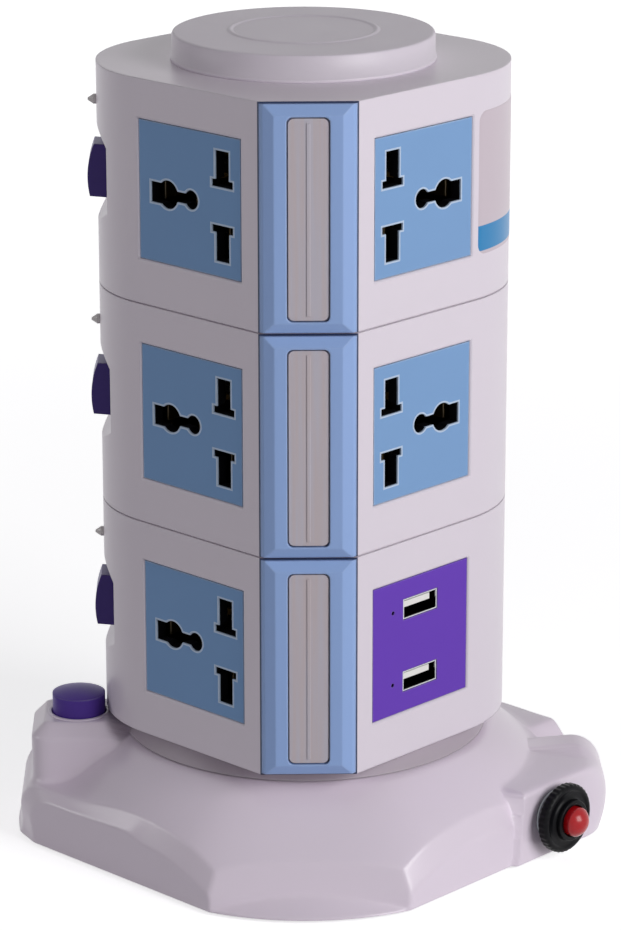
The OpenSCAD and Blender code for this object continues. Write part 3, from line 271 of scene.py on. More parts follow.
# Base floor: a flat moulded plate that closes the base below. It is the base's own plastic, left matt by its
# mould, and the rewind spring's post stands up from it. The tower's floor is of the same kind.
floor_look = {"level": 0.35, "Edge": 0.0004, "Grain": 1500.0, "Depth": 0.00002}
floor_abs = finish("floor_abs", paint(206, 200, 210), 0.5, **floor_look)
dress(floor_abs, "base_floor", "tower_floor")

# Floor screws: four countersunk steel screws through the floor into the shell's bosses. Pressed heads with a
# cross recess, bright zinc.
MM = 0.001


def surface(name, grids, material, body, slot, replaces=(), around=True, flip=False, flat=False):
    """Piece of a body, made of grids of points P(i, j) in mm, with j closed where it runs around."""
    points = []
    faces = []
    count = 0
    for grid in grids:
        rows, columns = grid.shape[:2]
        i = np.arange(rows - 1)[:, None]
        j = np.arange(columns if around else columns - 1)[None, :]
        m = (j + 1) % columns
        corners = (i * columns + j, i * columns + m, (i + 1) * columns + m, (i + 1) * columns + j)
        faces.append(np.stack(np.broadcast_arrays(*corners), -1).reshape(-1, 4) + count)
        points.append(grid.reshape(-1, 3) * MM)
        count += rows * columns
    quads = np.vstack(faces)
    mesh = bpy.data.meshes.new(name)
    mesh.from_pydata(np.vstack(points).tolist(), [], (quads[:, ::-1] if flip else quads).tolist())
    close = bmesh.new()
    close.from_mesh(mesh)
    bmesh.ops.remove_doubles(close, verts=close.verts, dist=1e-7)
    bmesh.ops.dissolve_degenerate(close, edges=close.edges, dist=1e-7)
    close.to_mesh(mesh)
    close.free()
    if not flat:
        mesh.shade_smooth()
    mesh.materials.append(material)
    made = bpy.data.objects.new(name, mesh)
    bpy.context.scene.collection.objects.link(made)
    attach(made, body)
    if replaces:
        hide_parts(*replaces)
    return made


def eased(points, radius, steps=4):
    """Profile with the corners between its ends rounded: each becomes (1-t)^2 A + 2t(1-t) P + t^2 B."""
    longest_share = 0.45
    points = [np.array(p, dtype=float) for p in points]
    out = [points[0]]
    for before, corner, after in zip(points, points[1:], points[2:]):
        to_a = before - corner
        to_b = after - corner
        a = corner + to_a * min(radius / np.linalg.norm(to_a), longest_share)
        b = corner + to_b * min(radius / np.linalg.norm(to_b), longest_share)
        for t in np.linspace(0, 1, steps):
            out.append((1 - t) ** 2 * a + 2 * t * (1 - t) * corner + t**2 * b)
    out.append(points[-1])
    return np.array(out)


def lathed(profile, steps=96):
    """Grid of a turned form: P = (r cos a, r sin a, z), (r, z) along the profile and a round the axis."""
    angle = np.linspace(0, 2 * math.pi, steps, endpoint=False)[None, :]
    r, z = (profile[:, k][:, None] for k in (0, 1))
    return np.stack([r * np.cos(angle), r * np.sin(angle), z + 0 * angle], -1)


def turned(grid, direction, origin):
    """Grid drawn along Z, turned so that Z runs along a direction, and moved to an origin."""
    turn = Vector(direction).to_track_quat("Z", "Y").to_matrix()
    return grid @ np.array(turn).T + np.array(origin)


zinc = finish("zinc", paint(196, 198, 202), 0.34, metal=1.0, Mottle=0.1, Smudge=0.2)
screw_reach = 62.0
screw_low = 1.4
screw_top = 12.8
head_r = 2.7
shank_r = 1.5
thread_pitch = 0.9
thread_deep = 0.22
recess_w = 0.84
recess_l = 3.2
recess_deep = 0.7
head_face = [(r, screw_low) for r in np.linspace(0, head_r - 0.3, 14)]
head_side = [(head_r - 0.2, screw_low), (head_r, screw_low + 0.2), (head_r, screw_low + 0.6)]
head_side = eased([*head_side, (shank_r, screw_low + 1.3)], 0.2)
thread_z = np.arange(screw_low + 1.5, screw_top - 1.4, 0.15)
thread_r = shank_r - thread_deep / 2 * (1 + np.cos(2 * math.pi * thread_z / thread_pitch))
tip = [(0.9, screw_top - 0.9), (0, screw_top)]
screw = lathed(np.vstack([head_face, head_side, np.stack([thread_r, thread_z], -1), tip]), 64)
# The recess sinks the head's face within two crossed bars: |x| and |y| sorted, the lesser within its width
narrow, wide = np.sort(np.abs(screw[..., :2]), axis=-1).transpose(2, 0, 1)
recess = np.clip((recess_w / 2 - narrow) / 0.1, 0, 1) * np.clip((recess_l / 2 - wide) / 0.3, 0, 1)
screw[..., 2] += recess_deep * recess * (screw[..., 2] < screw_low + 0.05)
screw_ways = ((1, 0), (0, 1), (-1, 0), (0, -1))
screws = [screw + np.array([screw_reach * x, screw_reach * y, 0]) for x, y in screw_ways]
surface("floor_screws", screws, zinc, "case", "steel", ["base_screws"])

# Cord reel: a grey moulded drum that turns on a steel spindle, wound up by a flat spiral spring. It is held
# in the middle of the base, between the floor and the deck.
drum_grey = finish("drum_grey", paint(92, 95, 104), 0.5, Mottle=0.08, Depth=0.00002)
blued_steel = finish("blued_steel", paint(96, 104, 122), 0.3, metal=1.0, Mottle=0.25, Smudge=0.2)
turned_steel = finish("turned_steel", paint(190, 192, 196), 0.28, metal=1.0, Smudge=0.15, Depth=0.000004)
dress(drum_grey, "reel_drum")
dress(blued_steel, "power_spring")
dress(turned_steel, "reel_spindle")

# Slip rings and brushes: three brass tracks on the drum's top, and three carbon blocks in a nylon holder that
# rub on them. Brass polished by the brushes, pressed carbon with a grainy face.
track_brass = finish("track_brass", paint(205, 172, 100), 0.3, metal=1.0, Mottle=0.15, Smudge=0.25)
carbon = finish("carbon", paint(40, 40, 42), 0.6, Mottle=0.2, Grain=2500.0, Depth=0.00002)
nylon = finish("nylon", paint(150, 148, 142), 0.5, Mottle=0.05)
dress(track_brass, "slip_rings")
dress(carbon, "carbon_brushes")
dress(nylon, "brush_holder")

# Brake: a moulded lever on a steel pin that grips the drum's toothed rim until the rewind button lifts it. A
# coil spring under the button's stem pushes both back.
coil_x = -43.845
coil_y = -49.502
coil_low = 3.82
coil_high = 12.36
coil_r = 2.8
wire_r = 0.38
coil_turns = 6.5
dress(drum_grey, "brake_lever")
dress(turned_steel, "brake_pin")


def coil(turns, low, high, r, wire, flat_turns=0.8, per_turn=28, round_steps=10):
    """Grid of a wire of radius w on a helix: P = C(s) + w (cos b N(s) + sin b Z), closed, its ends flat."""
    s = np.linspace(0, 1, int(turns * per_turn))
    rise = np.clip((s * turns - flat_turns) / (turns - 2 * flat_turns), 0, 1)
    z = low + wire + (high - low - 2 * wire) * rise
    a = 2 * math.pi * turns * s
    b = np.linspace(0, 2 * math.pi, round_steps, endpoint=False)
    thick = np.full_like(s, wire)
    thick[[0, -1]] = 0
    out = r + thick[:, None] * np.cos(b)[None, :]
    up = z[:, None] + thick[:, None] * np.sin(b)
    return np.stack([out * np.cos(a)[:, None], out * np.sin(a)[:, None], up], -1)


spring = coil(coil_turns, coil_low, coil_high, coil_r, wire_r) + np.array([coil_x, coil_y, 0])
spring_steel = finish("spring_steel", paint(168, 170, 176), 0.3, metal=1.0, Mottle=0.2)
coil_piece = surface("rewind_coil", [spring], spring_steel, "case", "steel", ["rewind_spring"], flip=True)
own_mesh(coil_piece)

# Base shell: one white ABS moulding, a low dome cut off by flat walls, with a raised block for the rewind
# button and a raised corner for the breaker. All its edges are drawn soft by the mould. Its skin is found by
# walking in along rays from the tower's axis until they meet one blended form.
shell_look = {"coat": 0.08, "level": 0.5, "Edge": 0.0003, "Wear": 0.25, "Mottle": 0.03, "Depth": 0.000012}
white_abs = finish("white_abs", paint(226, 214, 227), 0.3, **shell_look)
wall_d = 71.5
corner_wall_d = 73.0
button_x = coil_x
button_y = coil_y
button_hole = 8.0
block_top = 35.2
bush_x = 27.0
bush_y = 70.8
bush_z = 11.0


def blended_max(a, b, width):
    """Larger of a and b, rounded over a width w: h a + (1-h) b + w h (1-h), with h = (1 + (a-b) / w) / 2."""
    h = np.clip(0.5 + 0.5 * (a - b) / width, 0, 1)
    return h * a + (1 - h) * b + width * h * (1 - h)


def blended_min(a, b, width):
    """Smaller of a and b, rounded over a width."""
    return -blended_max(-a, -b, width)


def eased_step(value, start, length):
    """0 before the start, 1 a length after it: 3 t^2 - 2 t^3 between them."""
    t = np.clip((value - start) / length, 0, 1)
    return t * t * (3 - 2 * t)


def bevelled(a, b, cut, ease):
    """Larger of a and b with a bevel between them: max(a, b, (a + b) / spread + cut), its edges eased."""
    spread = 1.88
    return blended_max(blended_max(a, b, ease), (a + b) / spread + cut, ease)


def dome_form(r, to_front, z):
    """Round dome, (r, z) within its arc, flatter towards the front and back, and level under the tower."""
    foot_r, foot_z = 71.5, 17.8
    deck_r, deck_z = 53.0, 32.0
    arc_r = 88.0
    slope_reach = 85.1
    chord = math.hypot(foot_r - deck_r, foot_z - deck_z)
    sag = math.sqrt(arc_r**2 - chord**2 / 4) / chord
    middle_r = (foot_r + deck_r) / 2 + (foot_z - deck_z) * sag
    middle_z = (foot_z + deck_z) / 2 + (deck_r - foot_r) * sag
    dome = np.hypot(r - middle_r, z - middle_z) - arc_r
    dome = blended_max(dome, (np.abs(to_front) + z - slope_reach) / math.sqrt(2), width=3.0)
    return blended_max(dome, z - deck_z, width=1.5)


def lobe_form(to_label, z):
    """Lower body of the rewind corner: flat on top, its end round and a little bowed outwards."""
    start, end, top = 48.0, 83.2, 17.9
    bow, bow_top, bow_height = 2.4, 12.0, 11.0
    bowed = -to_label - end + bow * ((np.minimum(z, bow_top) - bow_top) / bow_height) ** 2
    return blended_max(blended_max(z - top, bowed, width=9.0), to_label + start, width=3.0)


def block_form(to_label, to_front, z):
    """Block of the rewind button: upright corners round, and a broad bevel round its flat top."""
    middle_label, middle_front = -66.006, 4.0
    core, upright_r = 8.1, 5.5
    past_label = np.abs(to_label - middle_label) - core
    past_front = np.abs(to_front - middle_front) - core
    outside = np.hypot(np.maximum(past_label, 0), np.maximum(past_front, 0))
    block = outside + np.minimum(np.maximum(past_label, past_front), 0) - upright_r
    return bevelled(block, z - block_top, cut=2.1, ease=0.35)


def facet_form(to_front, z):
    """Front and back facets: upright below, and leaning in above by c |f| + s z - d."""
    facet_d, lean_c, lean_s, lean_d = 73.0, 0.968, 0.252, 71.92
    leaning = lean_c * np.abs(to_front) + lean_s * z - lean_d
    return blended_max(np.abs(to_front) - facet_d, leaning, width=0.3)


def skirt_form(to_label, to_front, z):
    """Bowed skirts at the foot of the facets: round in plan, steeply sloped and flat on top."""
    bow_middle, bow_r, skirt_top = 16.0, 64.0, 5.5
    foot_z, run, rise, slope_l = 1, 7, 4.5, 1.85
    climb = np.maximum(z, foot_z) - foot_z
    skirt = np.hypot(np.abs(to_front) - bow_middle, to_label) - bow_r + run * climb / rise
    return np.maximum(skirt / slope_l, z - skirt_top)


def breaker_corner(x, y, z):
    """Corner for the breaker: a plateau, a hump on its end, and a fall towards the cord's wall."""
    to_label, to_front = (x + y) / math.sqrt(2), (x - y) / math.sqrt(2)
    plateau_z, hump_rise = 22.6, 1.6
    hump_start, hump_l, hump_side, hump_side_l = 74.5, 4, -14, 8
    far_z, fall_start, fall_l, held_back, held_l = 19.8, -9, 10, 10, 3
    outlet_fall, outlet_x, outlet_l = 5.3, 34, 7
    corner_end, end_bow, bow_z, bow_half = 88.5, 2.0, 10, 9
    inner, draft, draft_z = 14.2, 0.1, 24
    hump = eased_step(to_label, hump_start, hump_l) * eased_step(-to_front, hump_side, hump_side_l)
    crest = plateau_z + hump_rise * hump
    # The fall from the crest to the far side starts later where the hump stands
    held = held_back * eased_step(to_label, hump_start, held_l)
    over = eased_step(-to_front - fall_start - held, 0, fall_l)
    far = far_z - outlet_fall * eased_step(x, outlet_x, outlet_l)
    walls = blended_max(x, y, width=1.0) - corner_wall_d
    form = bevelled(walls, z - crest + (crest - far) * over, cut=0.5, ease=0.5)
    form = blended_max(form, to_label - corner_end + end_bow * ((z - bow_z) / bow_half) ** 2, width=5.0)
    return blended_max(form, inner - np.minimum(x, y) + draft * (z - draft_z), width=0.8)


def shell_form(x, y, z):
    """About the distance from a point to the shell's outside, below zero within it."""
    to_label, to_front = (x + y) / math.sqrt(2), (x - y) / math.sqrt(2)
    form = blended_min(dome_form(np.hypot(x, y), to_front, z), lobe_form(to_label, z), width=4.0)
    form = np.maximum(blended_min(form, block_form(to_label, to_front, z), width=2.0), z - block_top)
    # The flat walls, with a bevel along the arcs where they cut the dome
    box = blended_max(np.abs(x) - wall_d, np.abs(y) - wall_d, width=1.0)
    form = bevelled(form, box, cut=1.45, ease=0.3)
    form = blended_max(form, facet_form(to_front, z), width=0.5)
    skirt = blended_max(skirt_form(to_label, to_front, z), box, width=0.8)
    form = np.maximum(blended_min(form, skirt, width=0.6), box)
    return blended_min(form, breaker_corner(x, y, z), width=0.8)


def skin_rays(z0, slope, angle, start=112.0, steps=90, stride=0.8):
    """Distance from the axis at which level or rising rays meet the form, walking in by most of the gap."""
    r = np.full(np.broadcast_shapes(z0.shape, angle.shape), start)
    along = stride * np.cos(np.arctan(slope))
    for _ in range(steps):
        r -= along * shell_form(r * np.cos(angle), r * np.sin(angle), z0 + slope * r)
    return r


angle = np.linspace(0, 2 * math.pi, 720, endpoint=False)[None, :]
level_z = np.linspace(1.3, 13.5, 25)[:, None]
fan_z = 14.0
slopes = np.tan(np.radians(np.linspace(0, 25.5, 84)))[:, None]
level_r = skin_rays(level_z, 0 * level_z, angle)
fan_r = skin_rays(fan_z + 0 * slopes, slopes, angle)
foot_edge = ((-2.2, 1.8), (-2.2, 1.2), (-2.0, 1.0), (-0.35, 1.0), (-0.08, 1.1))
skin_r = np.vstack([level_r[0] + inward for inward, z in foot_edge] + [level_r, fan_r])
skin_z = [z + 0 * angle for inward, z in foot_edge] + [level_z + 0 * level_r, fan_z + slopes * fan_r]
skin = np.stack([skin_r * np.cos(angle), skin_r * np.sin(angle), np.vstack(skin_z)], -1)
# Points near the button's hole move onto its edge, and the faces within it and behind the cord bush go
hole_low = 33.5
hole_grip = 0.42
bush_cut_r = 5.2
bush_cut_y = 70.0
from_button = np.hypot(skin[..., 0] - button_x, skin[..., 1] - button_y)
near = (np.abs(from_button - button_hole) < hole_grip) & (skin[..., 2] > hole_low)
for axis, middle in ((0, button_x), (1, button_y)):
    pulled = middle + (skin[..., axis] - middle) * button_hole / np.maximum(from_button, 1)
    skin[..., axis] = np.where(near, pulled, skin[..., axis])
base_skin = surface("base_skin", [skin], white_abs, "case", "white_shell", ["base_shell"])
cut = bmesh.new()
cut.from_mesh(base_skin.data)
gone = []
for face in cut.faces:
    x, y, z = (c / MM for c in face.calc_center_median())
    over_button = z > hole_low and math.hypot(x - button_x, y - button_y) < button_hole - 0.05
    at_bush = y > bush_cut_y and math.hypot(x - bush_x, z - bush_z) < bush_cut_r
    if over_button or at_bush:
        gone.append(face)
bmesh.ops.delete(cut, geom=gone, context="FACES")
cut.to_mesh(base_skin.data)
cut.free()
lip_top = block_top + 0.3
well_lip = [(button_hole, hole_low - 0.5), (button_hole, lip_top), (button_hole + 1.1, lip_top)]
well = lathed(eased([*well_lip, (button_hole + 1.4, hole_low - 0.3)], 0.3, 4), 128)
well = well + np.array([button_x, button_y, 0])
surface("button_well", [well], white_abs, "case", "white_shell", flip=True)

# Cord bush: a black grommet in the hidden wall beside the breaker, with a lip on both sides of the wall. Soft
# vinyl, its lips rounded so that the cord doesn't chafe.
black_vinyl = finish("black_vinyl", paint(28, 28, 31), 0.5, level=0.35, Mottle=0.12, Wear=0.2)
bush_bore = 3.6
bush_r = 5.4
bush_lip_r = 6.6
bush_wall = 2.2
bush_flange = 2.0
bush_end = bush_wall + bush_flange
inner_lip = [(bush_bore, 1 - bush_flange), (bush_bore + 0.6, -bush_flange), (bush_lip_r, -bush_flange)]
waist = [(bush_lip_r, 0), (bush_r, 0), (bush_r, bush_wall), (bush_lip_r, bush_wall)]
outer_lip = [(bush_lip_r, bush_end), (bush_bore + 0.8, bush_end), (bush_bore, bush_end - 1), (bush_bore, 0)]
bush = turned(lathed(eased(inner_lip + waist + outer_lip, 0.5)), (0, 1, 0), (bush_x, bush_y, bush_z))
surface("cord_grommet", [bush], black_vinyl, "case", "black_plastic", ["cord_bush"])

# Rewind button: a purple ABS cap on a stem, standing in its hole in the block. The top is softly crowned,
# with a rim rubbed pale by fingers.
purple_abs = finish("purple_abs", paint(82, 56, 148), 0.36, level=0.12, Mottle=0.06, Edge=0.0009, Wear=0.4)
dress(purple_abs, "rewind_button")

# Breaker: a black thermal cutout behind the corner's wall, held by its threaded neck and a moulded ring nut
# with a fluted rim. The neck is plated steel.
black_look = {"level": 0.12, "Wear": 0.25, "Edge": 0.0004}
black_abs = finish("black_abs", paint(5, 5, 8), 0.34, rubbed_sheen=paint(70, 70, 76), **black_look)
dress(black_abs, "breaker_body")
breaker_y = 27.2
breaker_z = 13.0
nut_x = 76.0
nut_r = 10.2
nut_bore = 4.6
seat_r = 7.5
seat_deep = 1.9
groove_r = 8.2
groove_z = 2.7
hub_r = 6.0
hub_l = 5
flutes = 36
flute_deep = 0.18
neck_r = 7.6
neck_l = 5.4
neck_pitch = 1.0
neck_thread = 0.24
back = [(nut_bore, seat_deep), (seat_r, seat_deep), (seat_r, 0), (nut_r - 0.2, 0)]
fluted = [(nut_r, 0.4), (nut_r, 2.4), (nut_r - 0.7, 3), (groove_r + 0.4, groove_z + 0.4)]
groove = [(groove_r, groove_z), (hub_r + 0.7, groove_z), (hub_r, groove_z + 0.5)]
outline = [*back, *fluted, *groove, (hub_r, hub_l), (nut_bore, hub_l), (nut_bore, seat_deep)]
nut = lathed(eased(outline, 0.3), 288)
nut_angle = np.arctan2(nut[..., 1], nut[..., 0])
out = np.hypot(nut[..., 0], nut[..., 1])
flute = flute_deep / 2 * (1 - np.cos(flutes * nut_angle)) * np.clip((out - nut_r + 0.5) / 0.3, 0, 1)
nut[..., :2] *= (1 - flute / out)[..., None]
nut = turned(nut, (1, 0, 0), (nut_x, breaker_y, breaker_z))
surface("breaker_nut", [nut], black_abs, "case", "black_plastic", ["breaker_ring"])
dull_zinc = finish("dull_zinc", paint(118, 120, 125), 0.42, metal=1.0, Mottle=0.2)
turn_z = np.arange(0, neck_l, 0.12)
neck_rs = neck_r - neck_thread / 2 * (1 + np.cos(2 * math.pi * turn_z / neck_pitch))
neck_bore = nut_bore + 0.1
neck_rows = [[(neck_bore, 0)], np.stack([neck_rs, turn_z], -1), [(neck_bore, turn_z[-1])], [(neck_bore, 0)]]
neck = turned(lathed(np.vstack(neck_rows)), (1, 0, 0), (corner_wall_d - 2.2, breaker_y, breaker_z))
surface("breaker_thread", [neck], dull_zinc, "case", "steel", ["breaker_neck"])

# Reset button: red, round-ended, standing out of the ring. Glossy ABS.
red_abs = finish("red_abs", paint(178, 8, 20), 0.24, level=0.35, coat=0.12, Mottle=0.05, Edge=0.0006)
dress(red_abs, "reset_button")

# Collar: the ring that carries the tower on the base's deck. A duller grade of the casings' plastic, painted
# grey as painted shade under the tower's edge.
collar_shade_abs = finish("collar_shade_abs", paint(176, 165, 175), 0.45, level=0.3, Edge=0.0006, Mottle=0.05)
dress(collar_shade_abs, "tower_collar")

# Tie rods: four plated steel rods from the base to the top layer that pull the whole tower together, with
# nuts under the deck.
dress(zinc, "tie_rods", "tie_nuts")

# Contacts: brass bars that run up through the layers with sprung leaves behind each plate, held in carriers
# painted black as painted shade, so that the holes look dark. Old brass, dulled, in the dark behind the
# plates.
dull_brass = finish("dull_brass", paint(96, 78, 46), 0.45, metal=1.0, Mottle=0.3)
carrier_shade_black = finish("carrier_shade_black", paint(10, 10, 12), 0.6, level=0.15, Mottle=0.2)
dress(dull_brass, "live_busbars", "neutral_busbars", "earth_busbars")
dress(carrier_shade_black, "contact_carriers")

# Layer casings: three white ABS sleeves stacked on the collar, flat on four sides, cut off at the front and
# back corners and round at the two others. Fine moulded skin, its edges a little paler, partly rubbed and
# partly a painted highlight. The joints round the corner frames are deep, and beside the frames the paint
# turns dark navy as a painted shadow in them.
casing_look = {"coat": 0.06, "level": 0.35, "Edge": 0.0007, "Wear": 0.3, "Mottle": 0.03, "Depth": 0.000012}
casing_abs = finish("casing_abs", paint(221, 212, 222), 0.34, **casing_look)
shadow_joint_start = 59.95
shadow_joint_full = 60.12


def parted(tree, place):
    """X, Y and Z outputs of a place."""
    return node(tree, "ShaderNodeSeparateXYZ", [(place, 0)]).outputs


def overlaid(material, share, colour):
    """Lays a colour over a finish: colour = mix(paint, second colour, share), the share an output."""
    tree = material.node_tree
    target = tree.nodes["Principled BSDF"].inputs["Base Color"]
    tree.links.new(mixed(tree, share, target.links[0].from_socket, colour), target)


tree = casing_abs.node_tree
at = parted(tree, object_place(tree))
sideways = maths(tree, "ABSOLUTE", maths(tree, "SUBTRACT", at["X"], at["Y"]))
to_corner = maths(tree, "MULTIPLY", sideways, math.sqrt(0.5))
# Painted shadow: dark navy beside the corner frames, in the deep joints.
overlaid(casing_abs, span(tree, to_corner, shadow_joint_start * MM, shadow_joint_full * MM), paint(34, 48, 84))
layers = (1, 2, 3)
dress(casing_abs, *(f"layer_casing_{i}" for i in layers))


# Socket plates: blue ABS plates snapped into the casings from inside. Their edges and the holes' edges are
# painted pale as a highlight, and the holes' walls get painted shade: the paint turns black a short way
# behind the face.
def painted_hole_shade(material, face, start, full, dark):
    """Painted shade in a plate's holes: darkens its paint from one depth behind its face to another, depth =
    face - max(|x|, |y|).
    """
    tree = material.node_tree
    away = node(tree, "ShaderNodeVectorMath", [(object_place(tree), 0)], operation="ABSOLUTE").outputs[0]
    at = parted(tree, away)
    outward = maths(tree, "MAXIMUM", at["X"], at["Y"])
    overlaid(material, span(tree, outward, (face - full) * MM, (face - start) * MM, 1.0, 0.0), dark)


plate_face = 51.6
# Strong pale edges on the plates: a painted highlight round their borders and holes.
plate_look = {"level": 0.12, "Mottle": 0.07, "Wear": 0.9, "Edge": 0.0007}
blue_abs = finish("blue_abs", paint(126, 162, 206), 0.5, rubbed_sheen=paint(205, 218, 234), **plate_look)
painted_hole_shade(blue_abs, plate_face, 0.25, 0.4, paint(9, 9, 14))
dress(blue_abs, *(n for n in nodes if n.startswith("socket_")))


# Hole rims: the narrow lip moulded round each hole of the socket plates, painted paler than the plate as a
# painted highlight on the edges. It runs all round the two blade slots and the earth hole.
def slot_outline(side):
    """Corners of a blade slot with its wider inner end, counterclockwise, in mm from the plate's middle."""
    slot_u, slot_z = 12.5, 10.3
    slot_l, slot_w = 10.1, 5.3
    flare_l, flare_w = 2.1, 8.2
    low = slot_z - slot_l / 2
    high = slot_z + slot_l / 2
    half = [(flare_w / 2, low), (flare_w / 2, low + flare_l), (slot_w / 2, low + flare_l), (slot_w / 2, high)]
    loop = np.array(half + [(-u, z) for u, z in half[::-1]])
    loop[:, 0] += slot_u
    return loop if side > 0 else (loop * (1, -1))[::-1]


def earth_outline(steps=14):
    """Outline of the earth hole: a small and a large circle joined by a neck, and a flat slot behind."""
    small_u, small_r = 0.6, 2.7
    big_u, big_r = -8.4, 4.0
    neck_half = 1.5
    flat_half, flat_end = 2.95, -15.1
    a = np.linspace(0, math.pi - math.asin(neck_half / small_r), steps)
    b = np.linspace(math.asin(neck_half / big_r), math.pi - math.asin(flat_half / big_r), steps)
    upper = np.vstack([
        np.stack([small_u + small_r * np.cos(a), small_r * np.sin(a)], -1),
        np.stack([big_u + big_r * np.cos(b), big_r * np.sin(b)], -1),
        [(flat_end, flat_half)],
    ])
    return np.vstack([upper, (upper * (1, -1))[:0:-1]])


def grown(loop, width):
    """Outline moved out by a width: P + w (n1 + n2) / (1 + n1 . n2), n1 and n2 the outward sides at P."""
    ahead = np.roll(loop, -1, axis=0) - loop
    sides = np.stack([ahead[:, 1], -ahead[:, 0]], -1) / np.linalg.norm(ahead, axis=1)[:, None]
    before = np.roll(sides, 1, axis=0)
    return loop + width * (sides + before) / np.maximum(1 + (sides * before).sum(1), 0.35)[:, None]


layer_h = 63.6
tower_low = 37.0
plate_u = 6.7
plate_z = 32.7
rim_w = 0.42
rim_deep = 0.45
rim_proud = 0.13
rim_inset = 0.03
rim_crest = 0.08
rim_foot = (rim_w + 0.12, 0.02)
# Section of a lip, as widths out from the hole's edge and depths behind the plate's face
rim_lip = [(-rim_inset, rim_deep), (-rim_inset, 0), (rim_crest, -rim_proud), (rim_w, -rim_proud), rim_foot]
charging_plate = (0, 1)
rims = []
for layer in range(len(layers)):
    for side in range(4):
        if (layer, side) == charging_plate:
            continue
        for loop in (slot_outline(1), slot_outline(-1), earth_outline()):
            rings = []
            for width, depth in rim_lip:
                u, z = (grown(loop, width) + (plate_u, tower_low + layer * layer_h + plate_z)).T
                out = np.full(len(u), plate_face - depth)
                x, y = ((u, -out), (out, -u), (-u, out), (-out, u))[side]
                rings.append(np.stack([x, y, z], -1))
            rings = np.array(rings)
            rims.append(rings if side % 2 else rings[:, ::-1])
# Pale blue of the rims: a painted highlight.
rim_highlight_blue = finish("rim_highlight_blue", paint(186, 204, 226), 0.4, level=0.3, Mottle=0.15, Edge=0.0001)
surface("hole_rims", rims, rim_highlight_blue, "case", "blue_plate", flat=True)

# Charging plate: purple ABS, with two ports one over the other, each a folded steel shell round a white
# tongue with four gilt contact strips, on a green board behind.
purple_look = {"level": 0.14, "Mottle": 0.07, "Wear": 0.6, "Edge": 0.0004}
plate_purple = finish("plate_purple", paint(103, 62, 180), 0.45, rubbed_sheen=paint(190, 178, 222), **purple_look)
# Painted shade inside the plate's holes.
painted_hole_shade(plate_purple, plate_face, 0.3, 0.45, paint(12, 8, 22))
port_steel = finish("port_steel", paint(206, 208, 212), 0.26, metal=1.0, Mottle=0.1, Edge=0.0002)
# Painted shade deep inside the ports' shells.
painted_hole_shade(port_steel, plate_face, 0.45, 0.75, paint(8, 8, 10))
tongue_white = finish("tongue_white", paint(232, 230, 226), 0.35, Edge=0.0002)
board_green = finish("board_green", paint(26, 88, 52), 0.4, Mottle=0.2)
gilt = finish("gilt", paint(214, 180, 98), 0.25, metal=1.0, Mottle=0.1, Edge=0.0001)
dress(plate_purple, "usb_plate")
dress(port_steel, "usb_shells")
dress(tongue_white, "usb_tongues")
dress(board_green, "usb_board")
port_y = -6.7
port_zs = (59.0, 80.4)
tongue_end = 50.1
tongue_under = -0.1
strip_w = 1.0
strip_l = 6.4
strip_t = 0.16
strip_pitch = 2.3
strip_back = 0.4


def bar(low, high, ease, steps=4):
    """Grid of a bar along X: P = (x, c + q(a)), q round a rounded rectangle, drawn in near the ends."""
    low, high = np.array(low, dtype=float), np.array(high, dtype=float)
    middle = [0, *(low[1:] + high[1:]) / 2]
    half_y, half_z = (high[1:] - low[1:]) / 2
    quarter = np.linspace(0, math.pi / 2, steps)
    a = np.concatenate([quarter + k * math.pi / 2 for k in range(4)])
    sign_y = np.repeat([1, -1, -1, 1], steps)
    sign_z = np.repeat([1, 1, -1, -1], steps)
    near = [(low[0], 1), (low[0] + ease / 3, 0.3), (low[0] + ease, 0)]
    far = [(high[0] - ease, 0), (high[0] - ease / 3, 0.3), (high[0], 1)]
    rows = [np.array([[low[0], 0, 0]] * len(a))]
    for x, drawn in near + far:
        inset = ease * (0.3 + 0.7 * drawn)
        r = ease * (1 - 0.7 * drawn) * 0.3 + ease * 0.7 * (1 - drawn)
        y = sign_y * (half_y - inset) + r * np.cos(a)
        z = sign_z * (half_z - inset) + r * np.sin(a)
        rows.append(np.stack([np.full_like(a, x), y, z], -1))
    rows.append(np.array([[high[0], 0, 0]] * len(a)))
    return np.array(rows) + np.array(middle)


strips = []
for port_z in port_zs:
    for k in (-1.5, -0.5, 0.5, 1.5):
        strip_y = port_y + k * strip_pitch
        face_z = port_z + tongue_under
        strip_low = (tongue_end - strip_l, strip_y - strip_w / 2, face_z - strip_t)
        strip_high = (tongue_end - strip_back, strip_y + strip_w / 2, face_z + strip_t / 2)
        strips.append(bar(strip_low, strip_high, strip_t / 3))
surface("port_contacts", strips, gilt, "case", "brass")

# Corner frames and inserts: pale blue ABS frames with wide bevels, pegged over the cut-off corners, each
# round a matt white insert with a rib down its middle. Long faint streaks run down the inserts.
frame_look = {"coat": 0.05, "level": 0.25, "Edge": 0.0007, "Wear": 0.5}
frame_abs = finish("frame_abs", paint(147, 175, 224), 0.32, rubbed_sheen=paint(206, 220, 245), **frame_look)
insert_abs = finish("insert_abs", paint(190, 185, 195), 0.45, level=0.25, Edge=0.00015, Wear=0.5)
streak_stretch = (1.0, 1.0, 0.03)
tree = insert_abs.node_tree
drawn = node(tree, "ShaderNodeVectorMath", [(object_place(tree), 0)], operation="MULTIPLY")
drawn.inputs[1].default_value = streak_stretch
streak = node(tree, "ShaderNodeTexNoise", [(drawn.outputs[0], "Vector")], Scale=620.0, Detail=2.0)
faint = span(tree, streak.outputs["Fac"], low=0.36, high=0.64, end=0.7)
overlaid(insert_abs, faint, paint(194, 180, 181))
dress(frame_abs, *(f"corner_frames_{i}" for i in layers))
dress(insert_abs, *(f"corner_inserts_{i}" for i in layers))

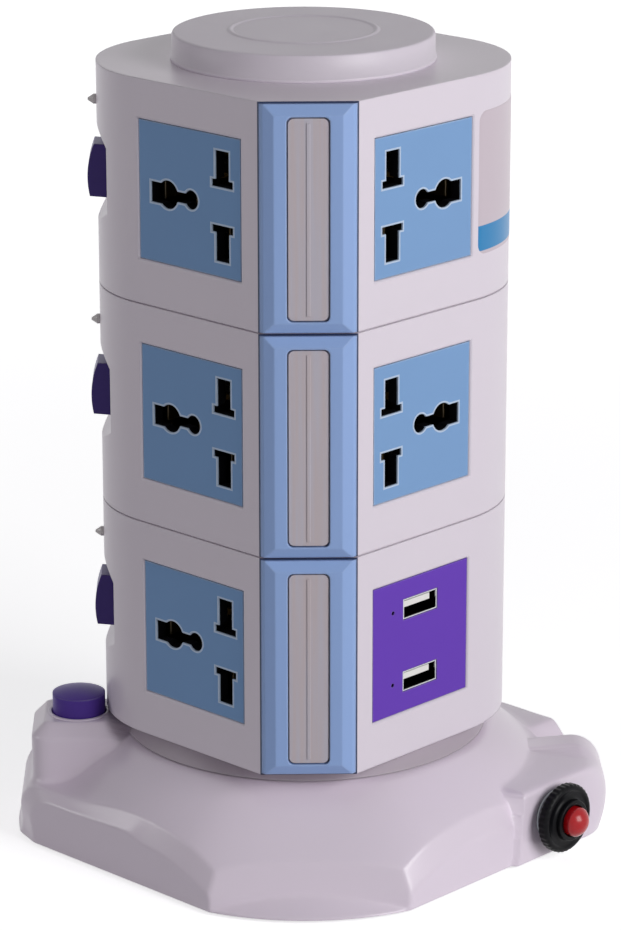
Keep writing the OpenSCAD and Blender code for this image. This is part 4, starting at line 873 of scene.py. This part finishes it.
# Rocker switches: purple barrels on their own pins in black housings behind the round corner, each with a
# small pointed lens over it. The rockers are polished where they are pressed.
rocker_look = {"level": 0.2, "Edge": 0.0008, "Wear": 0.4, "Mottle": 0.08}
rocker_purple = finish("rocker_purple", paint(54, 33, 112), 0.34, rubbed_sheen=paint(120, 100, 170), **rocker_look)
lens_clear = finish("lens_clear", paint(196, 190, 190), 0.15, coat=0.5, Mottle=0.1, Edge=0.0003)
dress(rocker_purple, *(f"rocker_switch_{i}" for i in layers))
dress(black_abs, *(f"rocker_housing_{i}" for i in layers))
dress(lens_clear, "indicator_lenses")

# Top cap: a round white lid pressed into the top layer, slightly crowned, with a thin ring raised on it and
# an upright side. Its top picks up the most dust.
cap_look = {"Edge": 0.0005, "Wear": 0.3, "Mottle": 0.06, "Smudge": 0.14, "Depth": 0.000015}
cap_dusty = finish("cap_dusty", paint(216, 208, 218), 0.42, level=0.35, **cap_look)
cap_low = 227.8
cap_foot_r = 37.2
cap_r = 36.8
cap_inner_r = 35.0
cap_under = 5.8
cap_rise = 6.8
cap_top = 7.6
cap_crown = 0.35
crown_edge = cap_r - 0.8
ring_r = 20.5
ring_rise = 0.34
ring_half = 0.7
under = [(0, cap_under), (cap_inner_r, cap_under), (cap_inner_r, 0), (cap_foot_r, 0), (cap_foot_r, 0.9)]
under = eased([*under, (cap_r, 1.0)], 0.15, 3)
upright = eased([(cap_r, cap_rise), (cap_r - 0.25, cap_top - 0.2), (crown_edge, cap_top)], 0.12, 3)
outer_rs = np.linspace(cap_r - 0.9, ring_r + 1.2, 10)
ring_rs = ring_r + np.linspace(1.1, -1.1, 23)
crown_r = np.concatenate([outer_rs, ring_rs, np.linspace(ring_r - 1.2, 0, 12)])
raised = ring_rise * np.clip(1.25 - np.abs(crown_r - ring_r) / ring_half, 0, 1) ** 0.8
crown = np.stack([crown_r, cap_top + cap_crown * (1 - (crown_r / crown_edge) ** 2) + raised], -1)
lid = lathed(np.vstack([under, upright, crown]), 192)
surface("lid", [lid + np.array([0, 0, cap_low])], cap_dusty, "case", "white_shell", ["top_cap"])

# Label: a thin pale sticker on the round corner behind the right face, with a blue band along its lower end.
# Smooth plastic film with round corners, pressed down at its edges.
film_look = {"coat": 0.1, "level": 0.3, "Mottle": 0.03, "Wear": 0.2, "Edge": 0.0001}
label_film = finish("label_film", paint(200, 187, 196), 0.35, **film_look)
round_middle = 14.5
round_r = 37.5
film_t = 0.12
pressed_in = 0.05
label_low = 177.0
label_h = 40.4
label_round = 3.0
turn_low = 0.02
turn_high = 0.95
band_low = 178.0
band_high = 185.2
band_soft = 0.1
round_z = np.linspace(0, label_round, 12)
straight = label_h - label_round
high_z = label_h - (label_round - round_z)[1:] ** 2 / label_round
label_z = np.concatenate([round_z**2 / label_round, [straight], high_z])
past = np.maximum(np.maximum(label_round - label_z, label_z - straight), 0)
drawn_in = (label_round - np.sqrt(label_round**2 - past**2)) / round_r
share = np.linspace(0, 1, 40)[None, :]
turn = (turn_low + drawn_in)[:, None] * (1 - share) + (turn_high - drawn_in)[:, None] * share
lift = np.full(turn.shape, film_t)
lift[[0, -1]] = lift[:, [0, -1]] = -pressed_in
out = round_r + lift
film_z = label_low + label_z[:, None] + 0 * turn
film = np.stack([round_middle + out * np.cos(turn), round_middle + out * np.sin(turn), film_z], -1)
tree = label_film.node_tree
up = parted(tree, object_place(tree))["Z"]
below_top = span(tree, up, (band_high + band_soft) * MM, (band_high - band_soft) * MM)
above_low = span(tree, up, (band_low - band_soft) * MM, (band_low + band_soft) * MM)
overlaid(label_film, maths(tree, "MULTIPLY", below_top, above_low), paint(34, 128, 184))
surface("bare_label", [film], label_film, "case", "white_shell", around=False)
